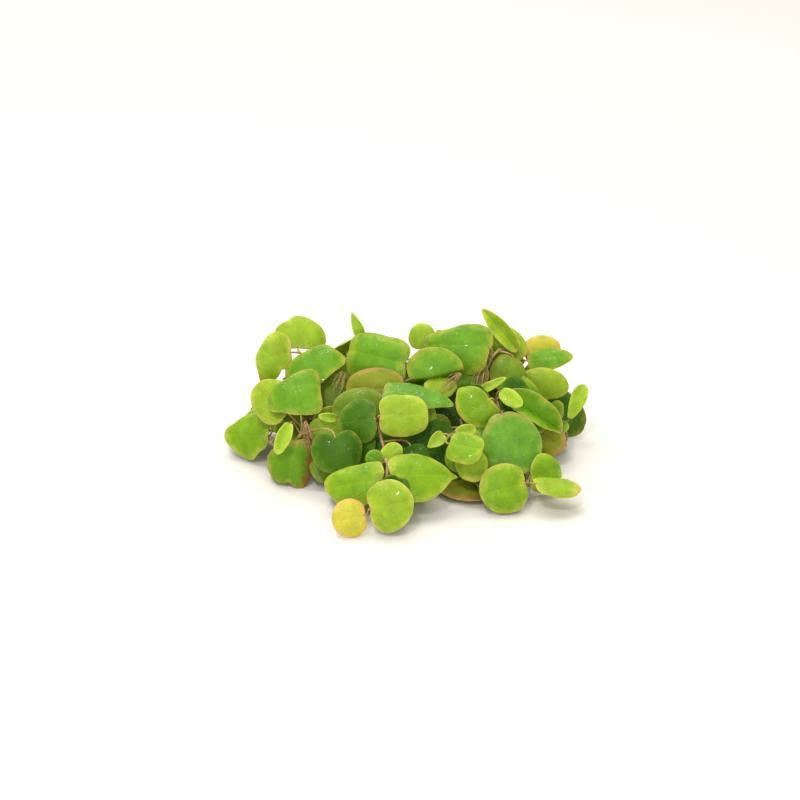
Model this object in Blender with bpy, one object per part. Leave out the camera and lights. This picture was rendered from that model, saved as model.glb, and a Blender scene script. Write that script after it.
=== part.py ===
"""A tangled portion of a floating aquarium plant, laid on a table.

A main stem runs through the heap, and side stems branch from it. They carry
smooth, nearly round leaves on short stalks, and fine roots hang from them.
Units are metres and +Z is up. The table is z = 0, and the origin is under the
middle of the heap.
"""

from math import cos, exp, radians, sin
from typing import NamedTuple

import bmesh
import bpy
from mathutils import Matrix, Quaternion, Vector

MM = 0.001

# Driving sizes, in mm
BLADE_THICKNESS = 0.42
STALK_RADIUS = 0.38
STEM_RADIUS = 0.6
PIECE_GAP = 0.3

# Each sprig is laid out as it is seen from one side, from above the table.
# A place is given in mm as across, up, and nearer than the middle of the view.
VIEW_TILT = radians(24)
VIEW_DISTANCE = 555
VIEW_TURN = {"front": 0, "back": radians(180)}
VIEW_MIDDLE = {"front": Vector((-1.76, 9.75, 14.9)), "back": Vector((-0.26, 2.65, 14.9))}


class Leaf(NamedTuple):
    """A blade and its stalk, with places as seen, sizes in mm and turns in degrees."""

    base: tuple
    tip: tuple
    width: float
    # Turn of the face about the midrib, away from the viewer and to its left
    roll: float = 0
    # How far each half rises beside the midrib, and how far its rim turns on
    fold: float = 9
    curl: float = -26
    # Height of the midrib's bow, and reach of the lobes
    arch: float = 0.06
    lobe: float = 0.08
    # Depth of a dent in the rim over the half size, and where it is, with 0 at the tip
    dent: float = 0
    dent_at: float = 0
    # How far the rim's corners stand out over the half size, where one is, and how many there are
    corner: float = 0
    corner_at: float = 0
    corners: int = 4
    # 0 is a round tip, and more is pointed
    point: float = 0.08
    # Share of the length that is a thin drawn-out tip
    tail: float = 0
    # Height of the rim's ripple over the width
    wave: float = 0.012
    tone: str = "green"


class Sprig(NamedTuple):
    """A side stem with its full leaves, and with the young ones still part of it."""

    view: str
    stem: tuple
    leaves: tuple
    young: tuple = ()


MAIN_STEM = ((-23, -4, 2.5), (-10, -4.6, 4), (4, -4, 4.5), (17, -3, 3), (30, -3.5, -0.5))

SPRIGS = {
    "front": Sprig(
        "front",
        (
            (-0.2, -5.6, 9),
            (-0.6, -5.6, 13.5),
            (-5.6, -4.8, 16.6),
            (-4.8, -9, 17.6),
            (-4, -12.8, 21.6),
            (-3.2, -18.8, 28.2),
            (-5.5, -24.4, 27.6),
            (-7.8, -27.6, 35.2),
        ),
        (
            Leaf(
                (-6.4, -4.7, 18.8), (-15.2, -5.9, 16.5), 11.6,
                roll=-12, lobe=0.12, wave=0.03, tone="deep",
            ),
            Leaf(
                (-4.7, -3.8, 19.4), (7.4, -3.8, 19), 11.2,
                roll=10, lobe=0.1, corner=0.03, corner_at=45, tone="lime",
            ),
            Leaf(
                (-1.8, -19, 30.2), (14.6, -19.4, 25.6), 12.8,
                roll=26, point=0.3, tail=0.2, lobe=0.12, dent=0.08, dent_at=-34, tone="fresh",
            ),
            Leaf(
                (-4.9, -20.1, 30.2), (-18.8, -22.4, 26), 10.8,
                roll=-22, lobe=0.1, corner=0.08, corner_at=-35, corners=3, tone="fresh",
            ),
            Leaf((-7, -27.2, 37.6), (3.4, -25, 38), 12.8, roll=5, lobe=0.14, tone="lime"),
            Leaf((-8.8, -28.8, 36.4), (-17, -30.6, 37), 9.6, lobe=0.08, tone="amber"),
        ),
        (
            Leaf((-3.9, -15.2, 24), (0, -11, 24.4), 5, tone="fresh"),
            Leaf((-4.6, -15.6, 24.4), (-8.4, -13.6, 24), 4.6, fold=20),
            Leaf((-15.8, -4.6, 13.6), (-20.4, -4, 15.8), 3.4, fold=50, curl=0, tone="lime"),
        ),
    ),
    "left": Sprig(
        "front",
        ((-24.3, -6.5, 7.5), (-24.8, -8.8, 12.8), (-29, -13, 8), (-33.2, -9.6, 1)),
        (
            Leaf(
                (-24.8, -3.6, 14.6), (-27, 6.6, 8.5), 14.4,
                lobe=0.05, wave=0.025, corner=0.15, corner_at=-38, corners=3,
            ),
            Leaf((-28.2, -3, 10), (-36.4, 3.3, 4.4), 11.2, tone="lime"),
            Leaf(
                (-33.2, -9.2, 2.6), (-43.4, -8.6, -3.5), 11.2,
                roll=-8, wave=0.04, corner=0.1, tone="fresh",
            ),
            Leaf(
                (-26, -10.2, 14.2), (-28.2, -22.46, 11.6), 11.8,
                dent=0.26, dent_at=5, corner=0.1, corner_at=40, corners=3, tone="bruised",
            ),
            Leaf((-16.2, -9.4, 20.4), (-15, -18.4, 21), 13, lobe=0.26, tone="deep"),
        ),
        (
            Leaf((-27.6, -6, 17.2), (-30.8, -13.6, 17.4), 6, fold=55, curl=0, tone="fresh"),
        ),
    ),
    "upper_left": Sprig(
        "front",
        ((-21, 2, 4), (-23, 8, 2), (-24.6, 11.6, 0.6)),
        (
            Leaf(
                (-25.5, 13, -1), (-24.6, 20.9, -4.5), 13.9,
                dent=0.2, dent_at=40, corner=0.04, corner_at=20, corners=3, tone="lime",
            ),
            Leaf(
                (-27.4, 11.8, 2.2), (-35.9, 9.8, 4), 12.2,
                wave=0.02, dent=0.32, dent_at=102, corner=0.16, corner_at=34, corners=2, tone="lime",
            ),
            Leaf((-22.8, 12.2, 3.4), (-19.3, 4.6, 8), 15.4, roll=5, lobe=0.1, corner=0.08, corner_at=75),
        ),
    ),
    "top": Sprig(
        "front",
        ((-0.4, 0, 6), (0.6, 4, 6.4), (0.8, 9, 0.4), (-3, 12.6, -2), (-9, 15, -3.2)),
        (
            Leaf((-3.4, 2.8, 8), (-12.4, 3.4, 7), 12, roll=-4, tone="bronze"),
            Leaf((-4.4, -2.9, 11.2), (-17, -2.7, 10.6), 12.8, roll=-8, lobe=0.12, tone="olive"),
            Leaf(
                (1, 9, 6.4), (-13.3, 12.6, 1), 13.6,
                roll=-12, lobe=0.12, point=-0.1, corner=0.08, corner_at=-40,
            ),
            Leaf((2.6, 5.2, 8.8), (15.8, 8.2, 9), 15, roll=-30, fold=-38, curl=-10, tone="green"),
            Leaf((-3.6, 2.2, 13.4), (13.4, -1.3, 15.6), 7.8, roll=38, point=0.45, tone="blue"),
        ),
        (
            Leaf((-10, 17.4, -3), (-11.8, 22, -2.4), 4.6, fold=60, curl=0, tone="lime"),
            Leaf((5.2, 12.8, -0.6), (6, 19.2, -0.4), 7.2, tone="lime"),
        ),
    ),
    "right": Sprig(
        "front",
        (
            (23.3, -1.2, 7.4),
            (24, -0.8, 12),
            (27, -8, 12),
            (30.6, -16.6, 13.8),
            (31.4, -20.2, 18),
            (31.8, -20.8, 22.2),
        ),
        (
            Leaf(
                (22.2, 0.2, 15.2), (15.6, -4.9, 15.2), 12.2,
                lobe=0.12, corner=0.05, corner_at=-50, corners=2, tone="fresh",
            ),
            Leaf(
                (25.6, -3.6, 16.6), (30.4, -18.2, 20.4), 15.4,
                roll=10, point=-0.18, corner=0.04, corner_at=10, tone="blue",
            ),
            Leaf((26, 0.8, 10.6), (40.2, -8, 6.8), 9.6, roll=24, fold=56, curl=-16, tone="green"),
            Leaf((31, -20.8, 26.2), (20, -23.8, 27.6), 12.6, lobe=0.1, tone="fresh"),
            Leaf(
                (32.8, -19, 21.6), (40.2, -17, 17.2), 9,
                roll=-10, corner=0.07, corner_at=-35, corners=3, tone="fresh",
            ),
            Leaf((34, -21, 26.2), (45.2, -22, 22.6), 9.6, roll=62, tone="lime"),
        ),
        (
            Leaf((21.6, 2.4, 12.2), (26.4, 5.6, 13.2), 4.4, fold=58, curl=0, tone="lime"),
            Leaf((25.2, 2, 15), (30.6, -1.4, 15.8), 5, fold=46, tone="lime"),
            Leaf((34, -7.6, 5), (40.8, -12.4, 4.8), 8.6, tone="bronze"),
        ),
    ),
    "corner": Sprig(
        "front",
        ((26.5, 0.5, -4), (29.6, 5, -9.5), (30.2, 10.6, -7.4), (26, 12.8, -4.4), (22.6, 10.6, 2.6)),
        (
            Leaf(
                (22.4, 13, 5), (7, 13.8, 2), 12.6,
                roll=-14, point=0.1, corner=0.14, corner_at=-128, corners=3,
            ),
            Leaf((29.2, 12.6, -4), (20.6, 22.6, -5), 5.6, fold=44, curl=-6, point=0.4, tone="lime"),
            Leaf((28.2, 10.4, -0.8), (25, 2.4, 3.2), 9.2, tone="olive"),
            Leaf((31.4, 12.3, -9.6), (40.2, 13, -12.6), 7.4, tone="amber"),
            Leaf((32.2, 9.8, -7), (43.2, 10.8, -6.2), 6.8, roll=30, point=0.3),
        ),
    ),
    "edge": Sprig(
        "front",
        ((33, -2.6, -7), (37, -4.6, -7.4), (41, -5.8, -7)),
        (
            Leaf((35.3, 0.6, -6), (36.5, 8, -4.4), 13.6, lobe=0.04, arch=0.14, tone="lime"),
            Leaf((35.2, -1, -10.4), (46, -7, -13), 12.6, wave=0.03, point=0.2, tone="deep"),
        ),
        (
            Leaf((42.4, -4.4, -5.6), (46, 3.9, -5), 5.4, fold=45, curl=0, point=-0.35, tone="lime"),
        ),
    ),
    "low": Sprig(
        "front",
        ((15.5, -6.5, 10), (13.5, -8, 16), (12.4, -8.9, 20.6)),
        (
            Leaf((12.4, -11, 26), (20.8, -12.8, 28), 9, roll=26, corner=0.05, corner_at=40, tone="fresh"),
            Leaf((17.2, -12.8, 20.8), (18.8, -20.4, 22.4), 8.2, tone="lime"),
        ),
        (
            Leaf((10.8, -8.6, 20.4), (6.9, -11.9, 20.6), 4.4, fold=36, curl=0, tone="fresh"),
            Leaf((14, -8.2, 20.4), (18.9, -7.2, 19), 5, fold=50, curl=0, tone="lime"),
        ),
    ),
    "back_left": Sprig(
        "back",
        ((15.5, -2, 9), (17.5, -3, 16), (18, -5, 19.8), (22.5, -10, 20), (27, -14.4, 16)),
        (
            Leaf((20, -5, 22), (32, -5.4, 16), 14.5, roll=36, corner=0.06, corner_at=-60, corners=2),
            Leaf(
                (17, -3.6, 22.6), (9, 3.2, 22), 13.6,
                roll=-20, corner=0.04, corner_at=20, corners=3, tone="lime",
            ),
            Leaf((29.2, -13.8, 17.8), (40.4, -18, 11), 12, roll=-20, wave=0.04, corner=0.05),
            Leaf((26.4, -17.4, 20.4), (20, -25.5, 24.4), 12.2, roll=22, lobe=0.16, tone="deep"),
        ),
        (
            Leaf((16.8, 1.4, 13.4), (20.6, 6, 12), 6, fold=40, curl=0, tone="fresh"),
        ),
    ),
    "back_right": Sprig(
        "back",
        ((-14.5, -2, 9), (-17, -3, 16), (-17.6, -5, 19.8), (-22, -10, 20), (-27, -14.4, 17)),
        (
            Leaf(
                (-19.6, -5, 24), (-31.4, -4.6, 21.4), 13.4,
                roll=-24, corner=0.06, corner_at=50, corners=2, tone="olive",
            ),
            Leaf((-16.2, -3.8, 22.6), (-8.8, 3.4, 25), 13.6, roll=30, dent=0.16, dent_at=20),
            Leaf((-29.4, -13.8, 19.4), (-40, -17, 13.8), 13.6, roll=22, lobe=0.14, tone="lime"),
            Leaf(
                (-26.6, -17.4, 21), (-20.4, -26.2, 25.4), 11.6,
                roll=-20, wave=0.03, corner=0.04, corner_at=15, corners=3,
            ),
        ),
        (
            Leaf((-20.6, -11.6, 21.8), (-16.2, -14.8, 23.6), 7, fold=20, tone="fresh"),
        ),
    ),
    "back_low": Sprig(
        "back",
        ((0, -6, 9), (0.3, -11, 17), (0, -16.6, 23)),
        (
            Leaf(
                (1.8, -17, 25.2), (14, -19, 25.5), 12.9,
                roll=26, corner=0.04, corner_at=30, tone="fresh",
            ),
            Leaf((-1.8, -17, 25), (-12.6, -22.4, 26.2), 13.4, roll=-8, lobe=0.14, tone="bronze"),
            Leaf(
                (0.2, -12.6, 20.6), (-2.2, -2.4, 17.4), 13,
                roll=24, corner=0.05, corner_at=-40, corners=3,
            ),
        ),
    ),
}

# Each tuft hangs between two places seen from the front, and narrows from its top
ROOTS = {
    "upper_roots": ((21, 8.4, 2.6), (18.6, 1, 5.4)),
    "left_roots": ((-22.4, -8.8, 9.6), (-20.8, -15.5, 10)),
    "middle_roots": ((5, -6, 3.4), (7, -16.5, 7)),
}
ROOT_TOP_RADIUS = 0.9
ROOT_MIDDLE_RADIUS = 1.4
ROOT_END_RADIUS = 0.4

TONES = {
    "green": (0.18, 0.42, 0.03),
    "fresh": (0.27, 0.52, 0.04),
    "lime": (0.42, 0.56, 0.05),
    "deep": (0.08, 0.25, 0.02),
    "blue": (0.12, 0.40, 0.08),
    "olive": (0.20, 0.26, 0.02),
    "amber": (0.62, 0.48, 0.08),
    "bronze": (0.32, 0.34, 0.05),
    "bruised": (0.24, 0.34, 0.04),
    "stem": (0.38, 0.24, 0.10),
    "root": (0.52, 0.30, 0.18),
}

RIM_ANGLES = [radians(angle) for angle in range(-154, 155, 28)]
RIM_RING_SHARES = (0.6, 1)
RIPPLE_TURNS = 7
DENT_SPREAD = 0.35
TAIL_SPREAD = 0.16
STEM_SIDES = 6
STEM_SPACING = 4


def view_axes(view):
    """The directions across, up and toward the viewer, seen from one side."""
    turn = Matrix.Rotation(VIEW_TURN[view], 3, "Z")
    across = turn @ Vector((1, 0, 0))
    up = turn @ Vector((0, sin(VIEW_TILT), cos(VIEW_TILT)))
    return across, up, across.cross(up)


def seen(view, place):
    """Where a place seen from one side lies over the table, in mm."""
    across, up, toward = view_axes(view)
    shrink = 1 - place[2] / VIEW_DISTANCE
    return VIEW_MIDDLE[view] + (across * place[0] + up * place[1]) * shrink + toward * place[2]


def smooth_route(places, spacing):
    """Points about spacing apart on a smooth curve through the places."""
    route = []
    ends = [places[0] * 2 - places[1], *places, places[-1] * 2 - places[-2]]
    for before, start, end, after in zip(ends, ends[1:], ends[2:], ends[3:]):
        steps = max(1, round((end - start).length / spacing))
        for step in range(steps):
            t = step / steps
            bend = before * 2 - start * 5 + end * 4 - after
            turn = start * 3 - before - end * 3 + after
            route.append(start + ((end - before) * t + bend * t**2 + turn * t**3) / 2)
    return [*route, places[-1]]


def nearest_on(route, place):
    """The point of a route that is nearest to a place."""
    nearest = route[0]
    for start, end in zip(route, route[1:]):
        run = end - start
        share = min(max((place - start).dot(run) / run.length_squared, 0), 1)
        point = start + run * share
        if (point - place).length < (nearest - place).length:
            nearest = point
    return nearest


def beside(route, place, distance):
    """The point at a distance from a route, on the way from it to a place."""
    nearest = nearest_on(route, place)
    return nearest + (place - nearest).normalized() * distance


def material(tone):
    """The material of one colour, made when it is first asked for."""
    found = bpy.data.materials.get(tone)
    if found:
        return found
    made = bpy.data.materials.new(tone)
    made.use_nodes = True
    surface = made.node_tree.nodes["Principled BSDF"]
    surface.inputs["Base Color"].default_value = (*TONES[tone], 1)
    surface.inputs["Roughness"].default_value = 0.4
    surface.inputs["Metallic"].default_value = 0
    return made


def add_object(name, mesh_parts, tone, matrix=Matrix()):
    """An object from a bmesh whose points are in mm."""
    mesh = bpy.data.meshes.new(name)
    bmesh.ops.scale(mesh_parts, vec=(MM, MM, MM), verts=mesh_parts.verts)
    mesh_parts.to_mesh(mesh)
    mesh_parts.free()
    mesh.shade_smooth()
    mesh.materials.append(material(tone))
    made = bpy.data.objects.new(name, mesh)
    made.matrix_world = matrix
    bpy.context.collection.objects.link(made)
    return made


def tube(route, radii):
    """A closed tube along a route, as a bmesh, with a radius at each point."""
    parts = bmesh.new()
    turn = Quaternion()
    facing = Vector((0, 0, 1))
    rings = []
    for index, (point, radius) in enumerate(zip(route, radii)):
        ahead = route[min(index + 1, len(route) - 1)] - route[max(index - 1, 0)]
        step = facing.rotation_difference(ahead)
        turn = step @ turn
        facing = ahead
        ring = []
        for side in range(STEM_SIDES):
            angle = radians(360 / STEM_SIDES * side)
            spoke = turn @ Vector((cos(angle), sin(angle), 0))
            ring.append(parts.verts.new(point + spoke * radius))
        rings.append(ring)
    for lower, upper in zip(rings, rings[1:]):
        for side in range(STEM_SIDES):
            after = (side + 1) % STEM_SIDES
            parts.faces.new((lower[side], lower[after], upper[after], upper[side]))
    parts.faces.new(reversed(rings[0]))
    parts.faces.new(rings[-1])
    return parts


def rim_points(leaf, length):
    """The outline in mm along and across the midrib, from one side of the stalk round to the other."""
    reach = (1 + leaf.lobe) / 2
    rim = [Vector((0, -STALK_RADIUS))]
    for angle in RIM_ANGLES:
        spread = 1 + leaf.corner * cos(leaf.corners * (angle - radians(leaf.corner_at)))
        spread -= leaf.dent * exp(-(((angle - radians(leaf.dent_at)) / DENT_SPREAD) ** 2))
        stretch = 1 - leaf.tail * (1 - exp(-((angle / TAIL_SPREAD) ** 2))) * (cos(angle) > 0)
        along = 1 - reach + reach * cos(angle) * spread * stretch
        across = sin(angle) * (1 - leaf.point * cos(angle)) / 2 * spread
        rim.append(Vector((along * length, across * leaf.width)))
    rim.append(Vector((0, STALK_RADIUS)))
    return rim


def blade_point(leaf, length, spot):
    """A spot of the flat blade on the bent one, in mm along, across and above its midrib."""
    along, across = spot
    side = across / (leaf.width / 2)
    slope = radians(leaf.fold + leaf.curl * abs(side))
    station = along / length
    bow = 4 * leaf.arch * length * station * (1 - station)
    ripple = leaf.wave * leaf.width * side**2 * sin(RIPPLE_TURNS * station + side)
    return Vector((along, across * cos(slope), bow + abs(across) * sin(slope) + ripple))


def stalk_pairs(foot):
    """Pairs of points along the stalk's two edges, from the blade at the origin down to its foot."""
    reach = foot.length
    control = Vector((-reach / 3, 0, 0))
    pairs = []
    for share in (0.5, 1):
        middle = control * 2 * share * (1 - share) + foot * share**2
        ahead = (control * (1 - share) + (foot - control) * share).normalized()
        edge = Vector((0, 1, 0)) - ahead * ahead.y
        edge = edge.normalized() * STALK_RADIUS
        pairs.append((middle - edge, middle + edge))
    return pairs


def leaf_sheet(leaf, length, foot):
    """The middle surface of a blade and its stalk, in the leaf's own directions."""
    sheet = bmesh.new()
    centre_spot = Vector((length / 2, 0))
    centre = sheet.verts.new(blade_point(leaf, length, centre_spot))
    rings = []
    for share in RIM_RING_SHARES:
        spots = [centre_spot.lerp(spot, share) for spot in rim_points(leaf, length)]
        rings.append([sheet.verts.new(blade_point(leaf, length, spot)) for spot in spots])
    inner, outer = rings
    for index, start in enumerate(inner):
        after = (index + 1) % len(inner)
        sheet.faces.new((centre, start, inner[after]))
        sheet.faces.new((start, outer[index], outer[after], inner[after]))
    right, left = outer[0], outer[-1]
    for pair in stalk_pairs(foot):
        next_right, next_left = (sheet.verts.new(point) for point in pair)
        sheet.faces.new((right, left, next_left, next_right))
        right, left = next_right, next_left
    return sheet


def add_leaf(name, leaf, view, route, foot_distance):
    """A leaf whose stalk ends at a distance from the middle of its stem."""
    base = seen(view, leaf.base)
    midrib = seen(view, leaf.tip) - base
    length = midrib.length
    midrib.normalize()
    toward = view_axes(view)[2]
    face = (toward - midrib * midrib.dot(toward)).normalized()
    face.rotate(Quaternion(midrib, -radians(leaf.roll)))
    turn = Matrix((midrib, face.cross(midrib), face)).transposed().to_4x4()
    foot = turn.inverted() @ (beside(route, base, foot_distance) - base)
    made = add_object(name, leaf_sheet(leaf, length, foot), leaf.tone, Matrix.Translation(base * MM) @ turn)
    solid = made.modifiers.new("thickness", "SOLIDIFY")
    solid.thickness = BLADE_THICKNESS * MM
    solid.offset = 0
    return made


def add_stem(name, route):
    """A stem of even thickness along a route."""
    return add_object(name, tube(route, [STEM_RADIUS] * len(route)), "stem")


def add_sprig(name, sprig, main_route):
    """A side stem with its leaves. The young leaves are joined to the stem."""
    places = [seen(sprig.view, place) for place in sprig.stem]
    start = beside(main_route, places[0], 2 * STEM_RADIUS + PIECE_GAP)
    route = smooth_route([start, *places], STEM_SPACING)
    stem = add_stem(f"{name}_stem", route)
    for number, leaf in enumerate(sprig.leaves, 1):
        add_leaf(f"{name}_leaf_{number}", leaf, sprig.view, route, STEM_RADIUS + PIECE_GAP)
    for number, leaf in enumerate(sprig.young, 1):
        young = add_leaf(f"{name}_young_{number}", leaf, sprig.view, route, 0)
        young.hide_render = True
        young.display_type = "WIRE"
        joint = stem.modifiers.new(f"young_{number}", "BOOLEAN")
        joint.operation = "UNION"
        joint.object = young
        joint.use_self = True


def add_roots(name, ends):
    """A tuft of roots as one tapered solid."""
    top, end = (seen("front", place) for place in ends)
    route = [top, top.lerp(end, 0.3), top.lerp(end, 0.7), end]
    radii = [ROOT_TOP_RADIUS, ROOT_MIDDLE_RADIUS, ROOT_MIDDLE_RADIUS, ROOT_END_RADIUS]
    add_object(name, tube(route, radii), "root")


def build():
    for old in list(bpy.data.objects):
        bpy.data.objects.remove(old)
    main_route = smooth_route([seen("front", place) for place in MAIN_STEM], STEM_SPACING)
    add_stem("main_stem", main_route)
    for name, sprig in SPRIGS.items():
        add_sprig(name, sprig, main_route)
    for name, ends in ROOTS.items():
        add_roots(name, ends)


build()
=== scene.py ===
from math import cos, exp, pi, radians, sin, sqrt
from typing import NamedTuple

import bmesh
import bpy
from mathutils import Matrix, Quaternion, Vector, noise


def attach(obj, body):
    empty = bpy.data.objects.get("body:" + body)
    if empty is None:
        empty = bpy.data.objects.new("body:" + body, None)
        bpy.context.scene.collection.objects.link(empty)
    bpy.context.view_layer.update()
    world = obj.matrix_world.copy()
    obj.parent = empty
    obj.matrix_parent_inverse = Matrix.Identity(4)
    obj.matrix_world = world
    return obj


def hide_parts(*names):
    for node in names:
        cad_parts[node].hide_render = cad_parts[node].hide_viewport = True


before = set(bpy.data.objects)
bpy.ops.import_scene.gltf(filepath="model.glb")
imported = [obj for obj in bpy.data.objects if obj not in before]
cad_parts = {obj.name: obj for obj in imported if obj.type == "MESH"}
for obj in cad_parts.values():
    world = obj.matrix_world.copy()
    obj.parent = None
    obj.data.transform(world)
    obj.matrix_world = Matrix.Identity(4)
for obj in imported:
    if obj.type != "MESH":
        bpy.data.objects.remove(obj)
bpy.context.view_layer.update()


# The table and the light
# The plant lies on a wide sheet of warm white board with a matt face. Large soft boxes above and
# in front of it light it evenly, so its shadows are faint and short.

MM = 0.001
FLOOR_WIDTH = 8.0
CLOUD_MM = 2700
SKY_STRENGTH = 0.64
# Each soft box has its place, its width and its power
SOFT_BOXES = {
    "top_light": ((-0.15, 0.25, 0.9), 0.8, 6.8),
    "front_light": ((0.1, -0.85, 0.45), 0.8, 2.0),
    "glint_light": ((-0.12, -0.5, 0.62), 0.08, 1.6),
}


def linear(code):
    """The linear colour of an sRGB hex code."""
    shares = [int(code[start : start + 2], 16) / 255 for start in (1, 3, 5)]
    straight = [share / 12.92 if share <= 0.04045 else ((share + 0.055) / 1.055) ** 2.4 for share in shares]
    return (*straight, 1)


def in_use(sockets, name=None):
    """The first socket that a node shows, or the first one of a name."""
    return next(socket for socket in sockets if socket.enabled and name in (None, socket.name))


def add(tree, kind, inputs=None, **settings):
    """A new node. An input takes a value, a socket, or a node whose first output it reads."""
    node = tree.nodes.new(kind)
    for name, value in settings.items():
        setattr(node, name, value)
    for key, value in (inputs or {}).items():
        socket = node.inputs[key] if isinstance(key, int) else in_use(node.inputs, key)
        if isinstance(value, bpy.types.Node):
            value = in_use(value.outputs)
        if isinstance(value, bpy.types.NodeSocket):
            tree.links.new(value, socket)
        else:
            socket.default_value = value
    return node


def new_material(name, **inputs):
    """A material with one surface shader and its plain values."""
    made = bpy.data.materials.new(name)
    made.use_nodes = True
    shader = made.node_tree.nodes["Principled BSDF"]
    for key, value in inputs.items():
        shader.inputs[key.replace("_", " ")].default_value = value
    return made, made.node_tree, shader


# Matt coated board: its fibres are far too fine to show from here, so only a faint wide cloudiness of the
# coat is left
board, tree, shader = new_material("coated_board", Roughness=0.7, IOR=1.5, Specular_IOR_Level=0.3)
place = add(tree, "ShaderNodeTexCoord").outputs["Object"]
cloud = {"Vector": place, "Scale": 1 / (CLOUD_MM * MM), "Detail": 2.0}
cloud = add(tree, "ShaderNodeTexNoise", cloud)
paint = {"Factor": cloud, "A": linear("#E9E6DF"), "B": linear("#EBE8E2")}
tint = add(tree, "ShaderNodeMix", paint, data_type="RGBA")
tree.links.new(in_use(tint.outputs), shader.inputs["Base Color"])

bpy.ops.mesh.primitive_plane_add(size=FLOOR_WIDTH)
floor = bpy.context.object
floor.name = "table_board"
floor.data.materials.append(board)

world = bpy.data.worlds.new("studio")
world.use_nodes = True
sky = world.node_tree.nodes["Background"].inputs
sky["Color"].default_value = linear("#FFFDFA")
sky["Strength"].default_value = SKY_STRENGTH
bpy.context.scene.world = world
bpy.context.scene.view_settings.view_transform = "Standard"

for name, (place, size, power) in SOFT_BOXES.items():
    lamp = bpy.data.lights.new(name, "AREA")
    lamp.size = size
    lamp.energy = power
    lamp.color = linear("#FFFCF8")[:3]
    box = bpy.data.objects.new(name, lamp)
    box.location = place
    box.rotation_euler = (-Vector(place)).to_track_quat("-Z", "Y").to_euler()
    bpy.context.collection.objects.link(box)


# The camera
# The photograph looks down at the plant from in front of its longer side. The near side of the plant is laid
# out in mm as it is seen from there, and the far side as it is seen from behind.

VIEW_TILT = radians(24)
VIEW_DISTANCE = 555
VIEW_TURN = {"front": 0, "back": pi}
VIEW_MIDDLE = {"front": Vector((-1.76, 9.75, 14.9)), "back": Vector((-0.26, 2.65, 14.9))}
CAMERA_LENS = 100
CAMERA_SENSOR = 36
CAMERA_NEAREST = 0.01


def view_axes(view):
    """The directions across, up and toward the viewer, seen from one side."""
    turn = Matrix.Rotation(VIEW_TURN[view], 3, "Z")
    across = turn @ Vector((1, 0, 0))
    up = turn @ Vector((0, sin(VIEW_TILT), cos(VIEW_TILT)))
    return across, up, across.cross(up)


camera_data = bpy.data.cameras.new("camera")
camera_data.lens = CAMERA_LENS
camera_data.sensor_width = CAMERA_SENSOR
camera_data.clip_start = CAMERA_NEAREST
camera = bpy.data.objects.new("camera", camera_data)
toward_viewer = view_axes("front")[2]
camera.location = (VIEW_MIDDLE["front"] + toward_viewer * VIEW_DISTANCE) * MM
camera.rotation_euler = toward_viewer.to_track_quat("Z", "Y").to_euler()
bpy.context.collection.objects.link(camera)
bpy.context.scene.camera = camera


# The stems
# One main stem lies under the leaves and carries side stems. They are soft round shoots, pinkish brown and
# glossy, and a little swollen at the joints, where a leaf grows out.

STEM_RADIUS = 0.42
STEM_TIP_SHARE = 0.75
JOINT_SWELLING = 0.35
JOINT_REACH = 0.9
STEM_STEP = 0.8
SHOOT_SIDES = 10
SIDEWAYS_BEND = 1.6
TABLE_GAP = 0.02


def seen(view, place):
    """Where a place seen from one side lies over the table, in mm."""
    across, up, toward = view_axes(view)
    shrink = 1 - place[2] / VIEW_DISTANCE
    return VIEW_MIDDLE[view] + (across * place[0] + up * place[1]) * shrink + toward * place[2]


def smooth_route(places, spacing):
    """Points about spacing apart on a smooth curve through the places."""
    route = []
    ends = [places[0] * 2 - places[1], *places, places[-1] * 2 - places[-2]]
    for before, start, end, after in zip(ends, ends[1:], ends[2:], ends[3:]):
        steps = max(1, round((end - start).length / spacing))
        for step in range(steps):
            t = step / steps
            bend = before * 2 - start * 5 + end * 4 - after
            turn = start * 3 - before - end * 3 + after
            route.append(start + ((end - before) * t + bend * t**2 + turn * t**3) / 2)
    return [*route, places[-1]]


def nearest_on(route, place):
    """The point of a route that is nearest to a place."""
    nearest = route[0]
    for start, end in zip(route, route[1:]):
        run = end - start
        share = min(max((place - start).dot(run) / run.length_squared, 0), 1)
        point = start + run * share
        if (point - place).length < (nearest - place).length:
            nearest = point
    return nearest


def shape_tree(name, sizes):
    """A Geometry Nodes tree with named sizes, and the nodes where its geometry comes in and goes out."""
    tree = bpy.data.node_groups.new(name, "GeometryNodeTree")
    tree.is_modifier = True
    tree.interface.new_socket("Geometry", in_out="INPUT", socket_type="NodeSocketGeometry")
    for label, value in sizes.items():
        socket = tree.interface.new_socket(label, in_out="INPUT", socket_type="NodeSocketFloat")
        socket.default_value = value
    tree.interface.new_socket("Material", in_out="INPUT", socket_type="NodeSocketMaterial")
    tree.interface.new_socket("Geometry", in_out="OUTPUT", socket_type="NodeSocketGeometry")
    return tree, add(tree, "NodeGroupInput").outputs


def end_tree(tree, geometry, material):
    """Ends a tree with smooth faces, real copies and the material."""
    smooth = add(tree, "GeometryNodeSetShadeSmooth", {"Geometry": geometry, "Shade Smooth": True})
    real = add(tree, "GeometryNodeRealizeInstances", {"Geometry": smooth})
    painted = add(tree, "GeometryNodeSetMaterial", {"Geometry": real, "Material": material})
    add(tree, "NodeGroupOutput", {"Geometry": painted})


def shaped(source, tree, **values):
    """The plain mesh that a tree makes from a source mesh."""
    holder = bpy.data.objects.new(source.name, source)
    bpy.context.collection.objects.link(holder)
    modifier = holder.modifiers.new("shape", "NODES")
    modifier.node_group = tree
    for item in tree.interface.items_tree:
        if item.in_out == "INPUT" and item.name in values:
            modifier[item.identifier] = values[item.name]
    graph = bpy.context.evaluated_depsgraph_get()
    made = bpy.data.meshes.new_from_object(holder.evaluated_get(graph), depsgraph=graph)
    bpy.data.objects.remove(holder)
    return made


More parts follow.
